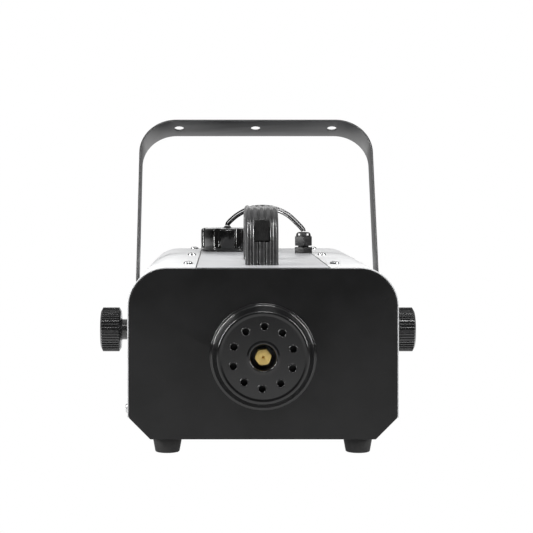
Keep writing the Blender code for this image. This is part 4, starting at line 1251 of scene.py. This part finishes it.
@dataclass
class CableGland(Assembly):
    """Cable gland through the top plate: hexagon foot, neck and a clamping nut with a fingered crown."""

    foot_flats: float = 19 * MM
    nut_flats: float = 18.6 * MM
    foot_height: float = 6.3 * MM
    nut_low: float = 8.1 * MM
    nut_height: float = 10.5 * MM
    crown: float = 4.9 * MM
    window_off: float = 4.7 * MM
    window_width: float = 2.7 * MM

    def build(self) -> None:
        """Make foot, neck and nut."""
        room = Room.of("gland_body")
        base = Room.of("top_plate").high.z + 0.3 * MM
        centre = Vector((room.middle.x, room.middle.y, base))
        foot = self.hexagon("gland_foot", centre, self.foot_flats, 0.0, self.foot_height)
        self.place(foot, self.paints.matte, Slot.MATTE_BLACK, smooth=25)
        neck = [(3.4 * MM, 0.0), (6.0 * MM, 0.0), (6.0 * MM, 12.0 * MM), (3.4 * MM, 12.0 * MM)]
        stem = Bench.turn("gland_neck", neck, centre, Axis.Z, 40)
        thread = [(3.4 * MM, -15 * MM), (5.4 * MM, -15 * MM), (5.4 * MM, 0.0), (3.4 * MM, 0.0)]
        Bench.join(stem, [Bench.turn("gland_thread", thread, centre, Axis.Z, 40)])
        self.place(stem, self.paints.matte, Slot.MATTE_BLACK, replaces=["gland_body"])
        nut = self.hexagon("gland_clamp_nut", centre, self.nut_flats, self.nut_low, self.nut_low + self.nut_height)
        self.place(nut, self.paints.matte, Slot.MATTE_BLACK, replaces=["gland_nut"], smooth=25)
        self.build_crown(centre)

    def hexagon(self, name: str, centre: Vector, flats: float, low: float, high: float) -> bpy.types.Object:
        """Hexagonal ring whose corners are turned down at both ends."""
        outline = [(centre.x + x, centre.y + y, centre.z + low) for x, y in polygon(6, flats, 30.0)]
        body = Bench.extrude(name, outline, (0, 0, high - low))
        wide, cut = flats * 0.6, 1.4 * MM
        lathe = [(3.4 * MM, low), (flats * 0.52, low), (wide, low + cut), (wide, high - cut), (flats * 0.52, high),
                 (3.4 * MM, high)]
        Bench.cut(body, Bench.turn("corner_cone", lathe, centre, Axis.Z, 72), "INTERSECT")
        return Bench.bevel(body, 0.35 * MM, 2, 30)

    def build_crown(self, centre: Vector) -> None:
        """Domed crown with windows between its fingers."""
        low = self.nut_low + self.nut_height
        dome = [(2.9 * MM, low - MM), (8.3 * MM, low - MM), (8.4 * MM, low + 1.4 * MM),
                *arc((4.9 * MM, low + self.crown - 3.3 * MM), 3.3 * MM, 5, 85, 6), (2.9 * MM, low + self.crown)]
        crown = Bench.turn("gland_crown", dome, centre, Axis.Z, 72)
        wide, reach = self.window_width / 2, 12 * MM
        for off in (-self.window_off, self.window_off):
            for half_x, half_y, x, y in ((wide, reach, off, 0.0), (reach, wide, 0.0, off)):
                spot = centre + Vector((x, y, low + 2.1 * MM))
                half = Vector((half_x, half_y, 1.25 * MM))
                Bench.cut(crown, Bench.block("crown_window", spot - half, spot + half))
        Bench.bevel(crown, 0.25 * MM, 2, 40)
        self.place(crown, self.paints.matte, Slot.MATTE_BLACK)


# ------------------------------------------------------------------ feet and rear fittings


@dataclass
class Feet(Assembly):
    """Tapered rubber feet, each with a sunk washer and screw."""

    top: float = 14 * MM
    sole: float = 11.6 * MM

    def build(self) -> None:
        """Turn one foot at each corner."""
        for node in ("foot_front_left", "foot_front_right", "foot_rear_left", "foot_rear_right"):
            room = Room.of(node)
            centre = (room.middle.x, room.middle.y, 0.0)
            height = room.high.z
            profile = [(0, 4.2 * MM), (4.6 * MM, 4.2 * MM), (4.9 * MM, 0.5 * MM), (5.5 * MM, 0.0),
                       (self.sole - 1.4 * MM, 0.0), *arc((self.sole - 1.4 * MM, 1.4 * MM), 1.4 * MM, 275, 352, 5),
                       (self.top - 0.3 * MM, height - 0.9 * MM), (self.top - 0.6 * MM, height - 0.2 * MM),
                       (self.top - 1.2 * MM, height), (0, height)]
            foot = Bench.turn(node + "_pad", profile, centre, Axis.Z, 64)
            self.place(foot, self.paints.rubber, Slot.RUBBER, replaces=[node], smooth=40)
            screw = [(0, 3.6 * MM), (0.9 * MM, 3.6 * MM), (0.9 * MM, 2.6 * MM), (3.2 * MM, 2.4 * MM),
                     (3.8 * MM, 3.2 * MM), (3.8 * MM, 4.15 * MM), (0, 4.15 * MM)]
            head = Bench.turn(node + "_screw", screw, centre, Axis.Z, 32)
            self.place(head, self.paints.steel, Slot.STEEL)


@dataclass
class RearFittings(Assembly):
    """Lamp on the rear panel: a bright collar round a domed lens."""

    def build(self) -> None:
        """Turn collar and lens."""
        lamp = Room.of("indicator_lamp")
        face = Room.of("rear_panel").high.y
        centre = (lamp.middle.x, face, lamp.middle.z)
        collar = [(4.3 * MM, 0.1 * MM), (5.6 * MM, 0.1 * MM), (5.6 * MM, 1.2 * MM), (5.1 * MM, 1.7 * MM),
                  (4.3 * MM, 1.7 * MM)]
        ring = Bench.turn("lamp_collar", collar, centre, Axis.Y, 48)
        self.place(ring, self.paints.steel, Slot.STEEL)
        dome = [(0, -15 * MM), (3.8 * MM, -15 * MM), (3.8 * MM, 0.0), (4.2 * MM, 0.3 * MM), (4.2 * MM, 2.2 * MM),
                *arc((0, 2.0 * MM), 3.7 * MM, 10, 80, 6), (0, 5.7 * MM)]
        lens = Bench.turn("lamp_dome", dome, centre, Axis.Y, 48)
        self.place(lens, self.paints.lamp, Slot.LAMP, replaces=["indicator_lamp"])


class KeptNodes:
    """Dresses the CAD nodes that stay as they are."""

    def __init__(self, paints: Paints, nodes: dict[str, bpy.types.Object]) -> None:
        """Sort the nodes by finish."""
        self.nodes = nodes
        self.finishes: dict[str, bpy.types.Material] = {
            "base_pan": paints.panel, "rear_panel": paints.panel, "heater_block": paints.aluminium,
            "heater_insulation": paints.fibre, "feed_tube": paints.copper, "fluid_tank": paints.tank,
            "pickup_tube": paints.tank, "pickup_filter": paints.plain_brass, "pump_barrel": paints.plain_brass,
            "control_board": paints.board, "inner_hose": paints.hose, "cap_seal": paints.rubber,
            "left_friction_pad": paints.rubber, "right_friction_pad": paints.rubber, "switch_rocker": paints.cap}
        self.steel = paints.steel
        self.default = paints.matte
        self.steel_words = ("stud", "washer", "weld", "pipe", "heater_bracket", "thermo", "thermal", "plunger",
                            "spring", "pump_bracket")

    def dress(self) -> None:
        """Give each node its finish."""
        for name, obj in self.nodes.items():
            finish = self.finishes.get(name)
            if finish is None:
                finish = self.steel if any(word in name for word in self.steel_words) else self.default
            if not obj.data.materials:
                obj.data.materials.append(finish)
            for slot in obj.material_slots:
                slot.material = finish


# ------------------------------------------------------------------ studio


@dataclass
class Studio:
    """Pale floor, soft boxes and the camera."""

    distance: float = 1.477
    camera_x: float = -38.4 * MM
    camera_z: float = 251 * MM
    lens: float = 106.7
    shift_x: float = 0.0835
    shift_y: float = -0.151
    floor_size: float = 6.0
    floor_levels: tuple[float, float, float] = (0.10, 0.38, 1.05)
    sky_back: float = 0.42
    sky_top: float = 0.32
    sky_least: float = 0.02
    boxes: tuple[tuple[str, tuple[float, float, float], tuple[float, float], float], ...] = (
        ("overhead", (0.0, 0.25, 1.5), (1.4, 1.2), 2.4), ("behind", (0.0, 1.6, 0.9), (1.6, 0.8), 4.5),
        ("left_strip", (-1.2, -0.6, 0.8), (0.09, 1.1), 23.0), ("right_strip", (1.2, -0.6, 0.8), (0.09, 1.1), 16.0),
        ("front_top", (0.1, -1.0, 1.4), (0.5, 0.12), 6.0))

    def build(self) -> None:
        """Set up everything that isn't the object."""
        self.build_floor()
        self.build_world()
        self.build_lights()
        self.build_camera()
        bpy.context.scene.view_settings.view_transform = "Standard"

    def build_floor(self) -> None:
        """A glowing sweep, bright behind the machine and dim in front, that the camera doesn't see."""
        Bench.deselect()
        bpy.ops.mesh.primitive_plane_add(size=self.floor_size, location=(0, 0, 0))
        floor = bpy.context.active_object
        floor.name = "studio_floor"
        recipe = Recipe("studio_floor_glow")
        _, y, _ = recipe.parts(recipe.coordinates)
        near, middle, far = self.floor_levels
        level = (y.step_up(-1.6, -0.5) * (middle - near) + near) + y.step_up(-0.3, 0.1) * (far - middle)
        floor.data.materials.append(recipe.finish(
            None, 0.0, Base_Color=(0.3, 0.3, 0.3, 1.0), Roughness=0.8, Emission_Color=level, Emission_Strength=1.0))
        floor.visible_camera = False

    def build_world(self) -> None:
        """White backdrop for the camera; light that fades towards the front for everything else."""
        world = bpy.data.worlds.new("studio_world")
        bpy.context.scene.world = world
        world.use_nodes = True
        graph = Graph(world.node_tree)
        _, y, z = graph.parts(graph.node("ShaderNodeTexCoord", {}).outputs["Generated"])
        level = y.step_up(-0.3, 1.0) * self.sky_back + z.step_up(0.0, 1.0) * self.sky_top + self.sky_least
        soft = graph.node("ShaderNodeBackground", {}, Strength=level)
        white = graph.node("ShaderNodeBackground", {}, Color=(1.0, 1.0, 1.0, 1.0), Strength=1.0)
        path = graph.node("ShaderNodeLightPath", {})
        mix = graph.node("ShaderNodeMixShader", {})
        for slot, socket in zip(mix.inputs, (path.outputs["Is Camera Ray"], soft.outputs[0], white.outputs[0])):
            graph.feed(slot, socket)
        graph.node("ShaderNodeOutputWorld", {}, Surface=mix.outputs[0])

    def build_lights(self) -> None:
        """Overhead and back boxes, a tall strip at each side and a small box above the camera."""
        for name, place, size, power in self.boxes:
            light = bpy.data.lights.new(name, "AREA")
            light.shape = "RECTANGLE"
            light.size, light.size_y = size
            light.energy = power
            lamp = bpy.data.objects.new(name, light)
            lamp.location = place
            lamp.rotation_euler = (Vector((0, 0, 0.1)) - Vector(place)).to_track_quat("-Z", "Y").to_euler()
            bpy.context.scene.collection.objects.link(lamp)

    def build_camera(self) -> None:
        """Camera straight along +Y, off to the left and above the machine, framed by lens shift."""
        front = Room.of("front_panel").low.y
        camera = bpy.data.cameras.new("camera")
        camera.lens, camera.sensor_width = self.lens, 36.0
        camera.shift_x, camera.shift_y = self.shift_x, self.shift_y
        rig = bpy.data.objects.new("camera", camera)
        rig.location = (self.camera_x, front - self.distance, self.camera_z)
        rig.rotation_euler = (math.pi / 2, 0, 0)
        bpy.context.scene.collection.objects.link(rig)
        bpy.context.scene.camera = rig


def main() -> None:
    """Load the frame, build each assembly on it and log the pieces made and the hose lengths."""
    logging.basicConfig(level=logging.INFO, format="%(name)s: %(message)s")
    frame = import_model()
    Studio().build()
    shroud = Room.of("nozzle_shroud").middle
    paints = Paints((0.0, shroud.z))
    KeptNodes(paints, frame["nodes"]).dress()
    kinds: tuple[Callable[[Paints], Assembly], ...] = (
        HoseLoop, Housing, Screws, NozzleFront, Yoke, Knobs, CarryHandle, FillerCap, CableGland, Feet, RearFittings)
    for kind in kinds:
        assembly = kind(paints)
        assembly.build()
        LOG.info("%s: %s", kind.__name__, ", ".join(assembly.made))


if __name__ == "__main__":
    main()
